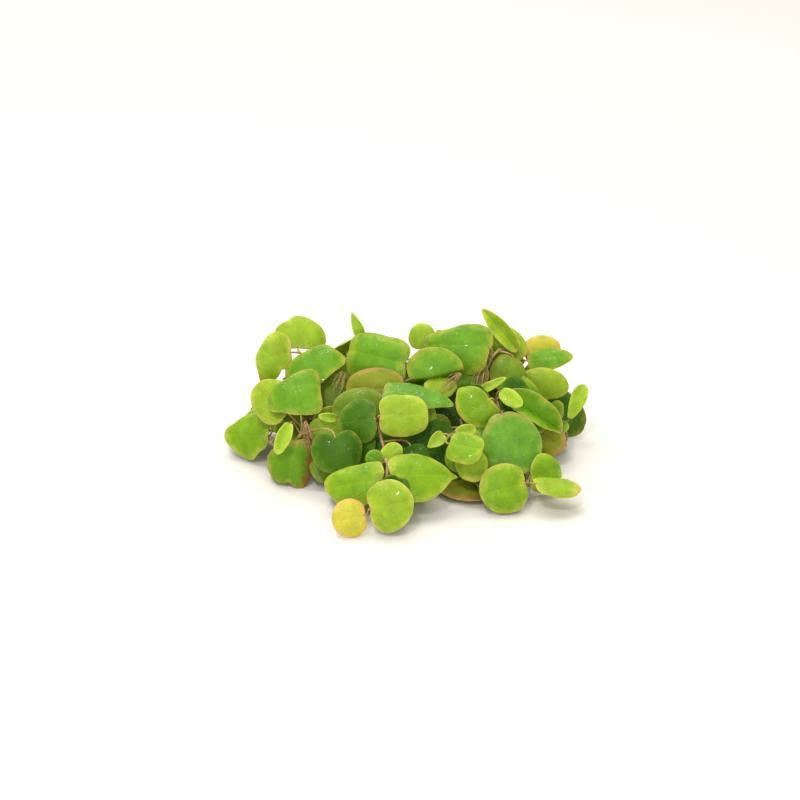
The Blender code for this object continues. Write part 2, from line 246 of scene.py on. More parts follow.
def path_mesh(route, girths):
    """Edges along a route in mm, with a radius at each point."""
    path = bpy.data.meshes.new("path")
    path.from_pydata([point * MM for point in route], [(k, k + 1) for k in range(len(route) - 1)], [])
    girth = path.attributes.new("girth", "FLOAT", "POINT")
    girth.data.foreach_set("value", [radius * MM for radius in girths])
    return path


# A round shoot along a path: its girth wanders a little, and it bends slightly from side to side
shoot_tree, sizes = shape_tree("shoot", {"Wander": 0.15, "Wander Size": 0.004, "Seed": 0.0})
girth = add(shoot_tree, "GeometryNodeInputNamedAttribute", {"Name": "girth"}, data_type="FLOAT")
line = add(shoot_tree, "GeometryNodeMeshToCurve", {"Mesh": sizes["Geometry"]})
grain = add(shoot_tree, "ShaderNodeMath", {0: 1.0, 1: sizes["Wander Size"]}, operation="DIVIDE")
drift = {"W": sizes["Seed"], "Scale": grain, "Detail": 1.0}
drift = add(shoot_tree, "ShaderNodeTexNoise", drift, noise_dimensions="4D")
centred = {0: drift.outputs["Color"], 1: (0.5,) * 3}
centred = add(shoot_tree, "ShaderNodeVectorMath", centred, operation="SUBTRACT")
pull = add(shoot_tree, "ShaderNodeMath", {0: girth, 1: SIDEWAYS_BEND}, operation="MULTIPLY")
aside = add(shoot_tree, "ShaderNodeVectorMath", {0: centred, "Scale": pull}, operation="SCALE")
bent = add(shoot_tree, "GeometryNodeSetPosition", {"Geometry": line, "Offset": aside})
swing = add(shoot_tree, "ShaderNodeMath", {0: drift, 1: 0.5}, operation="SUBTRACT")
swell = add(shoot_tree, "ShaderNodeMath", {0: swing, 1: sizes["Wander"], 2: 1.0}, operation="MULTIPLY_ADD")
width = add(shoot_tree, "ShaderNodeMath", {0: girth, 1: swell}, operation="MULTIPLY")
ring = add(shoot_tree, "GeometryNodeCurvePrimitiveCircle", {"Resolution": SHOOT_SIDES, "Radius": 1.0})
tube = {"Curve": bent, "Profile Curve": ring.outputs["Curve"], "Scale": width, "Fill Caps": True}
skin = add(shoot_tree, "GeometryNodeCurveToMesh", tube)
end_tree(shoot_tree, skin, sizes["Material"])

# Soft plant tissue under a wet skin: pinkish tan, browner in patches, with fine dark flecks
STREAK_MM = 0.25
PATCH_MM = 3.0
WET_SKIN = {"Roughness": 0.4, "IOR": 1.4, "Coat_Weight": 0.3, "Coat_Roughness": 0.15}
shoot_skin, tree, shader = new_material("wet_shoot", **WET_SKIN)
place = add(tree, "ShaderNodeTexCoord").outputs["Object"]
patches = add(tree, "ShaderNodeTexNoise", {"Vector": place, "Scale": 1 / (PATCH_MM * MM), "Detail": 3.0})
streaks = add(tree, "ShaderNodeTexNoise", {"Vector": place, "Scale": 1 / (STREAK_MM * MM), "Detail": 2.0})
share = add(tree, "ShaderNodeMapRange", {"Value": patches, "From Min": 0.38, "From Max": 0.66})
paint = {"Factor": share, "A": linear("#BBA260"), "B": linear("#8E6A40")}
tan = add(tree, "ShaderNodeMix", paint, data_type="RGBA")
dark = add(tree, "ShaderNodeMapRange", {"Value": streaks, "From Min": 0.45, "From Max": 0.75, "To Max": 0.4})
paint = {"Factor": dark, "A": tan, "B": linear("#6E4A2A")}
streaked = add(tree, "ShaderNodeMix", paint, data_type="RGBA")
relief = add(tree, "ShaderNodeBump", {"Height": streaks, "Strength": 0.3, "Distance": 0.0001})
tree.links.new(in_use(streaked.outputs), shader.inputs["Base Color"])
tree.links.new(relief.outputs["Normal"], shader.inputs["Normal"])


def finished(name, slot, *meshes, replaces=None):
    """A piece of the plant from meshes that have one material each."""
    whole = bmesh.new()
    data = bpy.data.meshes.new(name)
    for index, mesh in enumerate(meshes):
        first = len(whole.faces)
        whole.from_mesh(mesh)
        whole.faces.ensure_lookup_table()
        for face in whole.faces[first:]:
            face.material_index = index
        data.materials.append(mesh.materials[-1])
    # What lies on the table is flattened against it
    for point in whole.verts:
        point.co.z = max(point.co.z, TABLE_GAP * MM)
    whole.to_mesh(data)
    whole.free()
    piece = bpy.data.objects.new(f"{name}_tissue", data)
    bpy.context.collection.objects.link(piece)
    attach(piece, "root")
    if replaces:
        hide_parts(replaces)


def add_stem(name, route, joints):
    """A stem along a fine route, swollen at its joints."""
    girths = []
    for number, point in enumerate(route):
        taper = 1 + (STEM_TIP_SHARE - 1) * number / len(route)
        swelling = max((exp(-(((point - joint).length / JOINT_REACH) ** 2)) for joint in joints), default=0)
        girths.append(STEM_RADIUS * (taper + JOINT_SWELLING * swelling))
    mesh = shaped(path_mesh(route, girths), shoot_tree, Seed=float(len(name)), Material=shoot_skin)
    finished(name, "stem", mesh, replaces=name)


MAIN_STEM = ((-23, -4, 2.5), (-10, -4.6, 4), (4, -4, 4.5), (17, -3, 3), (30, -3.5, -0.5))
main_route = smooth_route([seen("front", place) for place in MAIN_STEM], STEM_STEP)
add_stem("main_stem", main_route, [])


# The leaves
# Each leaf is a thin, smooth, rounded blade, notched where its short stalk joins it. It is waxy and slightly
# cupped, yellow-green to deep green, and paler or pink-brown toward its thin rim.


class Leaf(NamedTuple):
    """A leaf by the places of its stalk joint and its tip.

    Sizes are in mm, shapes are shares of them, and angles are in degrees. At the rim they count from the tip.
    dent, peak and blush are a strength and its angle, and corners are how many, how strong, and their angle.
    """

    base: tuple
    tip: tuple
    width: float
    roll: float = 0
    fold: float = 9
    curl: float = -26
    arch: float = 0.06
    lobe: float = 0.08
    dent: tuple = (0, 0)
    peak: tuple = (0, 0)
    corners: tuple = (4, 0, 0)
    point: float = 0.08
    tail: float = 0
    wave: float = 0.012
    tone: str = "green"
    blush: tuple = (0, 180)


BLADE_THICKNESS = 0.3
STALK_RADIUS = 0.24
YOUNG_STALK_RADIUS = 0.18
STALK_END_RADIUS = 0.1
STALK_NECK_SHARE = 0.7
STALK_TOP_SHARE = 0.85
STALK_GAIN = 0.3
STALK_POINTS = 9
# The end of a stalk runs on under the blade. Each place is a share of the blade's length and mm below it
STALK_END = ((0.12, 0.25), (0.05, 0.15))
RIPPLE_TURNS = 7
# A blade is built of rings of points, which lie closer together toward its rim
RING_SHARES = (0.12, 0.26, 0.4, 0.53, 0.65, 0.75, 0.83, 0.89, 0.935, 0.965, 0.985, 0.996, 1)
SECTORS = 80
NOTCH_START = radians(146)
CREASE_WIDTH = 0.25
RIM_UNEVENNESS = 0.05
RIM_WAVES = 1.7
RIM_ROUNDING = 22.0
DENT_SPREAD = 0.35
PEAK_SPREAD = 0.26
TAIL_SPREAD = 0.16
SWELL_SHARE = 0.065
YOUNG_SWELL_SHARE = 0.03


def eased(share):
    """A smooth step from 0 to 1."""
    share = min(max(share, 0), 1)
    return share * share * (3 - 2 * share)


def rim_point(leaf, length, angle, seed):
    """A point of the outline in mm along and across the midrib. The angle is 0 at the tip."""
    reach = (1 + leaf.lobe) / 2
    corners, sharpness, first_corner = leaf.corners
    spread = 1 + sharpness * cos(corners * (angle - radians(first_corner)))
    spread -= leaf.dent[0] * exp(-(((angle - radians(leaf.dent[1])) / DENT_SPREAD) ** 2))
    spread += leaf.peak[0] * exp(-(((angle - radians(leaf.peak[1])) / PEAK_SPREAD) ** 2))
    spread += RIM_UNEVENNESS * noise.noise(Vector((cos(angle), sin(angle), seed)) * RIM_WAVES)
    stretch = 1 - leaf.tail * (1 - exp(-((angle / TAIL_SPREAD) ** 2))) * (cos(angle) > 0)
    along = 1 - reach + reach * cos(angle) * spread * stretch
    across = sin(angle) * (1 - leaf.point * cos(angle)) / 2 * spread
    notch = eased((abs(angle) - NOTCH_START) / (pi - NOTCH_START))
    return Vector((along * length, across * leaf.width)) * (1 - notch)


def blade_point(leaf, length, spot):
    """A spot of the flat blade on the bent one, in mm along, across and above its midrib."""
    along, across = spot
    side = across / (leaf.width / 2)
    slope = radians(leaf.fold + leaf.curl * abs(side))
    station = along / length
    bow = 4 * leaf.arch * length * station * (1 - station)
    ripple = leaf.wave * leaf.width * side**2 * sin(RIPPLE_TURNS * station + side)
    rise = sqrt(across**2 + CREASE_WIDTH**2) - CREASE_WIDTH
    return Vector((along, across * cos(slope), bow + rise * sin(slope) + ripple))


def blade_sheet(leaf, length, turn, seed, coarse=False):
    """The middle surface of a blade, where each point knows how far along, across and out it is."""
    centre = Vector((length / 2, 0))
    spots = [(centre, 0)]
    sectors = SECTORS // 2 if coarse else SECTORS
    shares = RING_SHARES[::2] if coarse else RING_SHARES
    angles = [2 * pi * k / sectors - pi for k in range(sectors)]
    rim = [rim_point(leaf, length, angle, seed) for angle in angles]
    for share in shares:
        spots += [(centre.lerp(point, share), share) for point in rim]
    faces = [(0, 1 + k, 1 + (k + 1) % sectors) for k in range(sectors)]
    for ring in range(len(shares) - 1):
        first = 1 + ring * sectors
        for k in range(sectors):
            after = (k + 1) % sectors
            faces.append((first + k, first + sectors + k, first + sectors + after, first + after))
    sheet = bpy.data.meshes.new("blade")
    sheet.from_pydata([turn @ blade_point(leaf, length, spot) * MM for spot, share in spots], [], faces)
    blade = sheet.attributes.new("blade", "FLOAT_VECTOR", "POINT")
    blade.data.foreach_set("vector", [value for spot, share in spots for value in (*spot, share)])
    blush = sheet.attributes.new("blush", "FLOAT", "POINT")
    strength, blush_angle = leaf.blush
    facing = Vector((cos(radians(blush_angle)), sin(radians(blush_angle))))
    size = Vector((length / 2, leaf.width / 2))
    for number, (spot, share) in enumerate(spots):
        out = spot - centre
        blush.data[number].value = strength * max(0, out.x / size.x * facing.x + out.y / size.y * facing.y)
    return sheet


# A blade grows from its middle surface: it swells between its edges, has a groove along the midrib that
# stands out below as a rib, and is rounded off at the rim. The groove's width is in mm, as the places on the
# blade are, and the other sizes are in metres
blade_tree, sizes = shape_tree(
    "blade",
    {
        "Thickness": BLADE_THICKNESS * MM,
        "Groove Depth": 0.00004,
        "Groove Width": 0.3,
        "Swell": 0.0009,
        "Swell Size": 0.005,
        "Seed": 0.0,
    },
)
normal = add(blade_tree, "GeometryNodeInputNormal")
spot = add(blade_tree, "GeometryNodeInputNamedAttribute", {"Name": "blade"}, data_type="FLOAT_VECTOR")
spot = add(blade_tree, "ShaderNodeSeparateXYZ", {0: spot}).outputs
grain = add(blade_tree, "ShaderNodeMath", {0: 1.0, 1: sizes["Swell Size"]}, operation="DIVIDE")
bumps = {"W": sizes["Seed"], "Scale": grain, "Detail": 1.5}
bumps = add(blade_tree, "ShaderNodeTexNoise", bumps, noise_dimensions="4D")
bumps = add(blade_tree, "ShaderNodeMath", {0: bumps, 1: 0.5}, operation="SUBTRACT")
reach = add(blade_tree, "ShaderNodeMath", {0: spot[2], 1: sizes["Swell"]}, operation="MULTIPLY")
bumps = add(blade_tree, "ShaderNodeMath", {0: bumps, 1: reach}, operation="MULTIPLY")
aside = add(blade_tree, "ShaderNodeMath", {0: spot[1], 1: sizes["Groove Width"]}, operation="DIVIDE")
aside = add(blade_tree, "ShaderNodeMath", {0: aside, 1: aside}, operation="MULTIPLY")
aside = add(blade_tree, "ShaderNodeMath", {0: aside, 1: -1.0}, operation="MULTIPLY")
groove = add(blade_tree, "ShaderNodeMath", {0: aside}, operation="EXPONENT")
inward = add(blade_tree, "ShaderNodeMath", {0: 1.0, 1: spot[2]}, operation="SUBTRACT")
groove = add(blade_tree, "ShaderNodeMath", {0: groove, 1: inward}, operation="MULTIPLY")
groove = add(blade_tree, "ShaderNodeMath", {0: groove, 1: sizes["Groove Depth"]}, operation="MULTIPLY")
lift = add(blade_tree, "ShaderNodeMath", {0: bumps, 1: groove}, operation="SUBTRACT")
lift = add(blade_tree, "ShaderNodeVectorMath", {0: normal, "Scale": lift}, operation="SCALE")
sheet = add(blade_tree, "GeometryNodeSetPosition", {"Geometry": sizes["Geometry"], "Offset": lift})
round_off = add(blade_tree, "ShaderNodeMath", {0: spot[2], 1: RIM_ROUNDING}, operation="POWER")
round_off = add(blade_tree, "ShaderNodeMath", {0: 1.0, 1: round_off}, operation="SUBTRACT")
round_off = add(blade_tree, "ShaderNodeMath", {0: round_off}, operation="SQRT")
half = add(blade_tree, "ShaderNodeMath", {0: sizes["Thickness"], 1: 0.5}, operation="MULTIPLY")
half = add(blade_tree, "ShaderNodeMath", {0: half, 1: round_off}, operation="MULTIPLY")
up = add(blade_tree, "ShaderNodeVectorMath", {0: normal, "Scale": half}, operation="SCALE")
down = add(blade_tree, "ShaderNodeVectorMath", {0: up, "Scale": -1.0}, operation="SCALE")
upper = add(blade_tree, "GeometryNodeSetPosition", {"Geometry": sheet, "Offset": up})
lower = add(blade_tree, "GeometryNodeSetPosition", {"Geometry": sheet, "Offset": down})
lower = add(blade_tree, "GeometryNodeFlipFaces", {"Mesh": lower})
marked = {"Geometry": lower, "Name": "underside", "Value": 1.0}
lower = add(blade_tree, "GeometryNodeStoreNamedAttribute", marked, data_type="FLOAT")
both = add(blade_tree, "GeometryNodeJoinGeometry", {"Geometry": lower})
blade_tree.links.new(in_use(upper.outputs), both.inputs[0])
closed = add(blade_tree, "GeometryNodeMergeByDistance", {"Geometry": both, "Distance": 1e-6})
end_tree(blade_tree, closed, sizes["Material"])

# Leaf tissue under a thin wax: light goes a little way in and comes out yellower, the green turns yellow and
# then bronze toward the rim, cells make the skin finely uneven, and it is glossier where it is wet
VEIN_SPACING_MM = 1.9
VEIN_WIDTH_MM = 0.25
VEIN_LEAN = 0.75
VEIN_PALENESS = 0.38
SIDE_VEIN_SHARE = 0.3
MIDRIB_WIDTH_MM = 0.3
CELL_MM = 0.3
MOTTLE_MM = 3.5
SPECK_MM = 0.625
DIRT_REACH_MM = 5.0
TEAR_MM = 1.11
WET_PATCH_MM = 3.0
WET_SPOT_MM = 0.9
WET_SPOT_HEIGHT = 6.0
UNDERSIDE_SHARE = 0.65
ZONE_WANDER = 0.85
ZONE_SHIFT = -0.43
BLUSH_REACH = 0.5
# Where a colour sets in and where it is full, from 0 in the middle of a blade to 1 at its rim
YELLOW_ZONE = (0.6, 1.15)
BRONZE_ZONE = (0.85, 1.3)
RIM_ZONE = (0.96, 0.985)
WAX = {"IOR": 1.45, "Specular_IOR_Level": 0.15, "Coat_Roughness": 0.06}
GLOW = {"Subsurface_Weight": 0.25, "Subsurface_Scale": 0.001, "Subsurface_Radius": (0.5, 0.9, 0.08)}


def leaf_material(name, middle, outer, bronze, rim, below, torn=0, dry=0.53):
    """The finish of a leaf, from the colours of its middle, outer part, blush, thin rim and underside.

    torn is how brown its torn tissue is, and a lower dry leaves more of its skin wet.
    """
    made, tree, shader = new_material(name, **WAX, **GLOW)
    place = add(tree, "ShaderNodeTexCoord").outputs["Object"]
    spot = add(tree, "ShaderNodeAttribute", attribute_name="blade").outputs["Vector"]
    spot = add(tree, "ShaderNodeSeparateXYZ", {0: spot}).outputs
    blush = add(tree, "ShaderNodeAttribute", attribute_name="blush").outputs["Fac"]
    underside = add(tree, "ShaderNodeAttribute", attribute_name="underside").outputs["Fac"]
    mottle = {"Vector": place, "Scale": 1 / (MOTTLE_MM * MM), "Detail": 4.0, "Roughness": 0.66}
    mottle = add(tree, "ShaderNodeTexNoise", mottle)
    # The green gives way to yellow toward the rim, along a wandering line
    wander = add(tree, "ShaderNodeMath", {0: mottle, 1: ZONE_WANDER, 2: ZONE_SHIFT}, operation="MULTIPLY_ADD")
    out = add(tree, "ShaderNodeMath", {0: spot[2], 1: wander}, operation="ADD")
    zone = {"Value": out, "From Min": YELLOW_ZONE[0], "From Max": YELLOW_ZONE[1]}
    yellow = add(tree, "ShaderNodeMapRange", zone, interpolation_type="SMOOTHSTEP")
    paint = {"Factor": yellow, "A": linear(middle), "B": linear(outer)}
    colour = add(tree, "ShaderNodeMix", paint, data_type="RGBA")
    # Bronze comes after the yellow, and goes further in on the blushed side
    out = add(tree, "ShaderNodeMath", {0: blush, 1: BLUSH_REACH, 2: out}, operation="MULTIPLY_ADD")
    zone = {"Value": out, "From Min": BRONZE_ZONE[0], "From Max": BRONZE_ZONE[1]}
    browned = add(tree, "ShaderNodeMapRange", zone, interpolation_type="SMOOTHSTEP")
    paint = {"Factor": browned, "A": colour, "B": linear(bronze)}
    colour = add(tree, "ShaderNodeMix", paint, data_type="RGBA")
    # Veins and midrib
    beside = add(tree, "ShaderNodeMath", {0: spot[1]}, operation="ABSOLUTE")
    phase = add(tree, "ShaderNodeMath", {0: beside, 1: -VEIN_LEAN, 2: spot[0]}, operation="MULTIPLY_ADD")
    phase = add(tree, "ShaderNodeMath", {0: phase, 1: VEIN_SPACING_MM}, operation="PINGPONG")
    width = {"Value": phase, "From Min": VEIN_WIDTH_MM, "From Max": 0.0}
    side_vein = add(tree, "ShaderNodeMapRange", width)
    width = {"Value": beside, "From Min": MIDRIB_WIDTH_MM, "From Max": 0.05}
    midrib = add(tree, "ShaderNodeMapRange", width)
    vein = {0: side_vein, 1: SIDE_VEIN_SHARE, 2: midrib}
    vein = add(tree, "ShaderNodeMath", vein, operation="MULTIPLY_ADD")
    vein = add(tree, "ShaderNodeMath", {0: vein, 1: mottle}, operation="MULTIPLY", use_clamp=True)
    share = add(tree, "ShaderNodeMath", {0: vein, 1: VEIN_PALENESS}, operation="MULTIPLY")
    paint = {"Factor": share, "A": colour, "B": linear(outer)}
    colour = add(tree, "ShaderNodeMix", paint, data_type="RGBA")
    # Cloudy lighter and darker tissue, and single pale cells
    cells = add(tree, "ShaderNodeTexVoronoi", {"Vector": place, "Scale": 1 / (CELL_MM * MM)})
    levels = {"Value": mottle, "From Min": 0.3, "From Max": 0.7, "To Min": 0.8, "To Max": 1.16}
    value = add(tree, "ShaderNodeMapRange", levels)
    levels = {"Value": cells, "From Min": 0.0, "From Max": 0.6, "To Min": 1.1, "To Max": 0.96}
    grain = add(tree, "ShaderNodeMapRange", levels)
    value = add(tree, "ShaderNodeMath", {0: value, 1: grain}, operation="MULTIPLY")
    colour = add(tree, "ShaderNodeHueSaturation", {"Value": value, "Color": colour})
    share = add(tree, "ShaderNodeMath", {0: underside, 1: UNDERSIDE_SHARE}, operation="MULTIPLY")
    paint = {"Factor": share, "A": colour, "B": linear(below)}
    colour = add(tree, "ShaderNodeMix", paint, data_type="RGBA")
    # The thin rim is paler or pinker, and fades in places
    levels = {"Value": mottle, "From Min": 0.35, "From Max": 0.65, "To Min": 0.3}
    fray = add(tree, "ShaderNodeMapRange", levels)
    zone = {"Value": spot[2], "From Min": RIM_ZONE[0], "From Max": RIM_ZONE[1]}
    edge = add(tree, "ShaderNodeMapRange", zone)
    edge = add(tree, "ShaderNodeMath", {0: edge, 1: fray}, operation="MULTIPLY")
    paint = {"Factor": edge, "A": colour, "B": linear(rim)}
    colour = add(tree, "ShaderNodeMix", paint, data_type="RGBA")
    # Small brown specks and dirt, mostly round the stalk
    specks = {"Vector": place, "Scale": 1 / (SPECK_MM * MM), "Detail": 3.0}
    specks = add(tree, "ShaderNodeTexNoise", specks)
    near_stalk = {"Value": spot[0], "From Min": 0.0, "From Max": DIRT_REACH_MM, "To Min": 0.09, "To Max": 0.0}
    near_stalk = add(tree, "ShaderNodeMapRange", near_stalk)
    specks = add(tree, "ShaderNodeMath", {0: specks, 1: near_stalk}, operation="ADD")
    levels = {"Value": specks, "From Min": 0.73, "From Max": 0.8, "To Max": 0.5}
    specks = add(tree, "ShaderNodeMapRange", levels)
    paint = {"Factor": specks, "A": colour, "B": linear("#5A4420")}
    colour = add(tree, "ShaderNodeMix", paint, data_type="RGBA")
    # Torn tissue dies back in ragged brown patches
    if torn:
        dead = {"Vector": place, "Scale": 1 / (TEAR_MM * MM), "Detail": 4.0}
        dead = add(tree, "ShaderNodeTexNoise", dead)
        dead = add(tree, "ShaderNodeMath", {0: dead, 1: blush}, operation="ADD")
        levels = {"Value": dead, "From Min": 1.0, "From Max": 1.25, "To Max": torn}
        dead = add(tree, "ShaderNodeMapRange", levels)
        paint = {"Factor": dead, "A": colour, "B": linear("#7C5A2A")}
        colour = add(tree, "ShaderNodeMix", paint, data_type="RGBA")
    tree.links.new(in_use(colour.outputs), shader.inputs["Base Color"])
    # Where the skin is wettest, small rounded spots of it shine in clusters
    film = add(tree, "ShaderNodeTexNoise", {"Vector": place, "Scale": 1 / (WET_PATCH_MM * MM), "Detail": 1.0})
    film = add(tree, "ShaderNodeMapRange", {"Value": film, "From Min": dry, "From Max": dry + 0.05})
    spots = add(tree, "ShaderNodeTexVoronoi", {"Vector": place, "Scale": 1 / (WET_SPOT_MM * MM)})
    spots = add(tree, "ShaderNodeMapRange", {"Value": spots, "From Min": 0.4, "From Max": 0.18})
    film = add(tree, "ShaderNodeMath", {0: film, 1: spots}, operation="MULTIPLY")
    rough = add(tree, "ShaderNodeMapRange", {"Value": film, "To Min": 0.42, "To Max": 0.18})
    tree.links.new(in_use(rough.outputs), shader.inputs["Roughness"])
    tree.links.new(in_use(film.outputs), shader.inputs["Coat Weight"])
    skin = add(tree, "ShaderNodeMath", {0: film, 1: WET_SPOT_HEIGHT, 2: cells}, operation="MULTIPLY_ADD")
    skin = add(tree, "ShaderNodeMath", {0: vein, 1: -1.0, 2: skin}, operation="MULTIPLY_ADD")
    relief = add(tree, "ShaderNodeBump", {"Height": skin, "Strength": 0.3, "Distance": 0.00006})
    tree.links.new(relief.outputs["Normal"], shader.inputs["Normal"])
    return made


LEAF_TONES = {
    "green": leaf_material("leaf_green", "#66991A", "#95A82C", "#A49C3C", "#B2AE60", "#8F9A40"),
    "fresh": leaf_material("leaf_fresh", "#7AA41C", "#A4B534", "#B2AA46", "#C0BC68", "#A8B24C"),
    "lime": leaf_material("leaf_lime", "#92B22A", "#B2BE3E", "#BEB452", "#CCC470", "#BCB856"),
    "deep": leaf_material("leaf_deep", "#406C0C", "#62861E", "#80802E", "#8C9048", "#6C7D2A", dry=0.49),
    "blue": leaf_material("leaf_blue", "#64982A", "#86AA36", "#989644", "#AEB068", "#8FA34E", dry=0.47),
    "olive": leaf_material("leaf_olive", "#6C8B1E", "#8A962A", "#8E8234", "#98944C", "#7C7A2C"),
    "amber": leaf_material("leaf_amber", "#C6C042", "#D6BA58", "#DB9E60", "#DEA870", "#D6A75A"),
    "bronze": leaf_material("leaf_bronze", "#889422", "#A49838", "#AE8846", "#B8985A", "#9C8E40"),
    "bruised": leaf_material("leaf_bruised", "#64941A", "#A8A43C", "#9E843C", "#8C7034", "#8E8A40", torn=0.9),
}
# The very young leaves are the brightest. Deep-toned leaves inside the clump get a darker copy of the deep
# tone, which is painted shade for the shade that falls inside the clump
YOUNG_TONE = leaf_material("leaf_young", "#A2C434", "#BACC4A", "#C4BE5A", "#D2D07C", "#C0C658")
CLUMP_SHADE_TONE = leaf_material("leaf_deep_painted_shade", "#36640A", "#4E7814", "#645E22", "#727C34", "#4E6018", dry=0.45)


def add_leaf(name, leaf, view, route, young=False, coarse=False, replaces=None):
    """A leaf with its stalk, whose foot is in the middle of its stem."""
    base = seen(view, leaf.base)
    midrib = seen(view, leaf.tip) - base
    length = midrib.length
    midrib.normalize()
    toward = view_axes(view)[2]
    face = (toward - midrib * midrib.dot(toward)).normalized()
    face.rotate(Quaternion(midrib, -radians(leaf.roll)))
    turn = Matrix.Translation(base) @ Matrix((midrib, face.cross(midrib), face)).transposed().to_4x4()
    seed = sum(leaf.base) + leaf.width
    tone = LEAF_TONES[leaf.tone]
    if young and leaf.tone in ("lime", "fresh"):
        tone = YOUNG_TONE
    # Deep-toned leaves inside the clump take the darker copy: painted shade
    if coarse and leaf.tone == "deep":
        tone = CLUMP_SHADE_TONE
    blade = shaped(
        blade_sheet(leaf, length, turn, seed, coarse),
        blade_tree,
        Seed=seed,
        Swell=MM * length * (YOUNG_SWELL_SHARE if young else SWELL_SHARE),
        Material=tone,
    )
    foot = turn.inverted() @ nearest_on(route, base)
    control = Vector((-foot.length / 3, 0, 0))
    stalk = [Vector((length * share, 0, -below)) for share, below in STALK_END]
    for step in range(STALK_POINTS):
        share = step / (STALK_POINTS - 1)
        stalk.append(control * 2 * share * (1 - share) + foot * share**2)
    radius = YOUNG_STALK_RADIUS if young else STALK_RADIUS
    girths = [STALK_END_RADIUS, radius * STALK_NECK_SHARE]
    girths += [radius * (STALK_TOP_SHARE + STALK_GAIN * step / STALK_POINTS) for step in range(STALK_POINTS)]
    path = path_mesh([turn @ point for point in stalk], girths)
    stalk = shaped(path, shoot_tree, Seed=seed, Material=shoot_skin)
    finished(name, f"leaf_{leaf.tone}", blade, stalk, replaces=replaces)


def add_sprig(name, view, stem, leaves, young=(), inner=()):
    """A side stem from the main stem, with its leaves, its young ones and those deep in the clump."""
    places = [seen(view, place) for place in stem]
    route = smooth_route([nearest_on(main_route, places[0]), *places], STEM_STEP)
    joints = [nearest_on(route, seen(view, leaf.base)) for leaf in [*leaves, *young]]
    add_stem(f"{name}_stem", route, joints)
    for number, leaf in enumerate(leaves, 1):
        add_leaf(f"{name}_leaf_{number}", leaf, view, route, replaces=f"{name}_leaf_{number}")
    for number, leaf in enumerate(young, 1):
        add_leaf(f"{name}_young_leaf_{number}", leaf, view, route, young=True)
    for number, leaf in enumerate(inner, 1):
        add_leaf(f"{name}_inner_leaf_{number}", leaf, view, route, coarse=True)


# The front sprig
# It comes forward from the middle of the main stem and bends down to the table. Three pairs of leaves grow
# along it, and the last leaf of the end pair has turned amber.
add_sprig(
    "front", "front",
    stem=(
        (-0.2, -5.6, 9),
        (-0.6, -5.6, 13.5),
        (-5.6, -4.8, 16.6),
        (-4.8, -9, 17.6),
        (-4, -12.8, 21.6),
        (-3.2, -18.8, 28.2),
        (-5.5, -24.4, 27.6),
        (-7.8, -27.6, 35.2),
    ),
    leaves=(
        Leaf((-6.4, -4.7, 18.8), (-15.2, -5.9, 16.5), 11.6, roll=-12, lobe=0.12, wave=0.03, tone="deep"),
        Leaf(
            (-4.7, -3.8, 19.4), (7.4, -3.8, 19), 11.2,
            roll=10, lobe=0.1, corners=(4, 0.03, 45), tone="lime",
        ),
        Leaf(
            (-1.8, -19, 30.2), (14.6, -19.4, 25.6), 12.8,
            roll=26, point=0.3, tail=0.2, lobe=0.12, dent=(0.08, -34), tone="fresh",
        ),
        Leaf(
            (-4.9, -20.1, 30.2), (-18.8, -22.4, 26), 10.8,
            roll=-22, lobe=0.1, corners=(3, 0.08, -35), tone="fresh", peak=(0.2, -126), blush=(0.3, 90),
        ),
        Leaf((-7, -27.2, 37.6), (3.4, -25, 38), 12.8, roll=5, lobe=0.14, tone="lime", blush=(0.25, -120)),
        Leaf((-8.8, -28.8, 36.4), (-17, -30.6, 37), 9.6, lobe=0.08, tone="amber", blush=(0.3, -150)),
    ),
    young=(
        Leaf((-3.9, -15.2, 24), (0, -11, 24.4), 5, tone="fresh"),
        Leaf((-4.6, -15.6, 24.4), (-8.4, -13.6, 24), 4.4, fold=12),
        Leaf((-15.8, -4.6, 13.6), (-20.4, -4, 15.8), 2.6, fold=30, curl=0, tone="lime"),
    ),
    inner=(
        Leaf((-1.6, -4.6, 13.4), (9.2, -4.8, 12.6), 12.4),
        Leaf((-8.6, -9.6, 13.4), (-2.6, -18.6, 16.4), 12.6, tone="deep"),
        Leaf((2.6, -11.4, 17), (4.6, -17.4, 20), 8, tone="deep"),
        Leaf(
            (-5.2, -16.5, 6.1), (3.2, -11.6, -2.3), 12.2,
            roll=60, fold=5, curl=-14, corners=(3, 0.06, 20), wave=0.02, tone="lime", blush=(0.4, -30),
        ),
        Leaf(
            (-11.9, -24.4, 23.6), (-9.1, -19.2, 12.3), 14.1,
            roll=16, fold=14, tone="olive", blush=(0.4, 0),
        ),
        Leaf(
            (-2.2, -27.2, 25.2), (6, -22.9, 18.8), 11.3,
            roll=64, fold=5, curl=10, corners=(2, 0.06, 40), tone="fresh", blush=(0.4, -30),
        ),
        Leaf((-1.2, -19.8, 26.1), (7.7, -15.4, 21.5), 10.5, roll=32, fold=5, curl=-14, tone="lime"),
        Leaf(
            (-2.3, -6.7, 10.5), (-10, -9.4, 3.6), 11.4,
            roll=24, fold=5, dent=(0.2, 0), tone="olive", blush=(0.4, 150),
        ),
        Leaf(
            (-3.9, -27, 27.8), (-0.3, -30.7, 34.8), 8.2,
            roll=36, curl=-14, wave=0.03, tone="blue", blush=(0.6, 60),
        ),
        Leaf(
            (-3.9, -23.1, 26.5), (0.8, -19, 20.9), 8.9,
            roll=16, curl=10, dent=(0.2, 60), wave=0.04, tone="olive",
        ),
        Leaf(
            (-4.9, -25, 32.5), (1.8, -19.7, 31.9), 7.8,
            roll=0, fold=14, curl=10, dent=(0.2, 30), tone="deep",
        ),
        Leaf((-8, -8.1, 16.6), (-14.2, -15.5, 13.5), 10.1, roll=-24, curl=-14, tone="deep"),
        Leaf(
            (-7.6, -23.3, 25.9), (-12.7, -22.2, 22.8), 5.4,
            roll=-40, fold=14, curl=-14, wave=0.04, tone="bronze", blush=(0.6, 150),
        ),
    ),
)

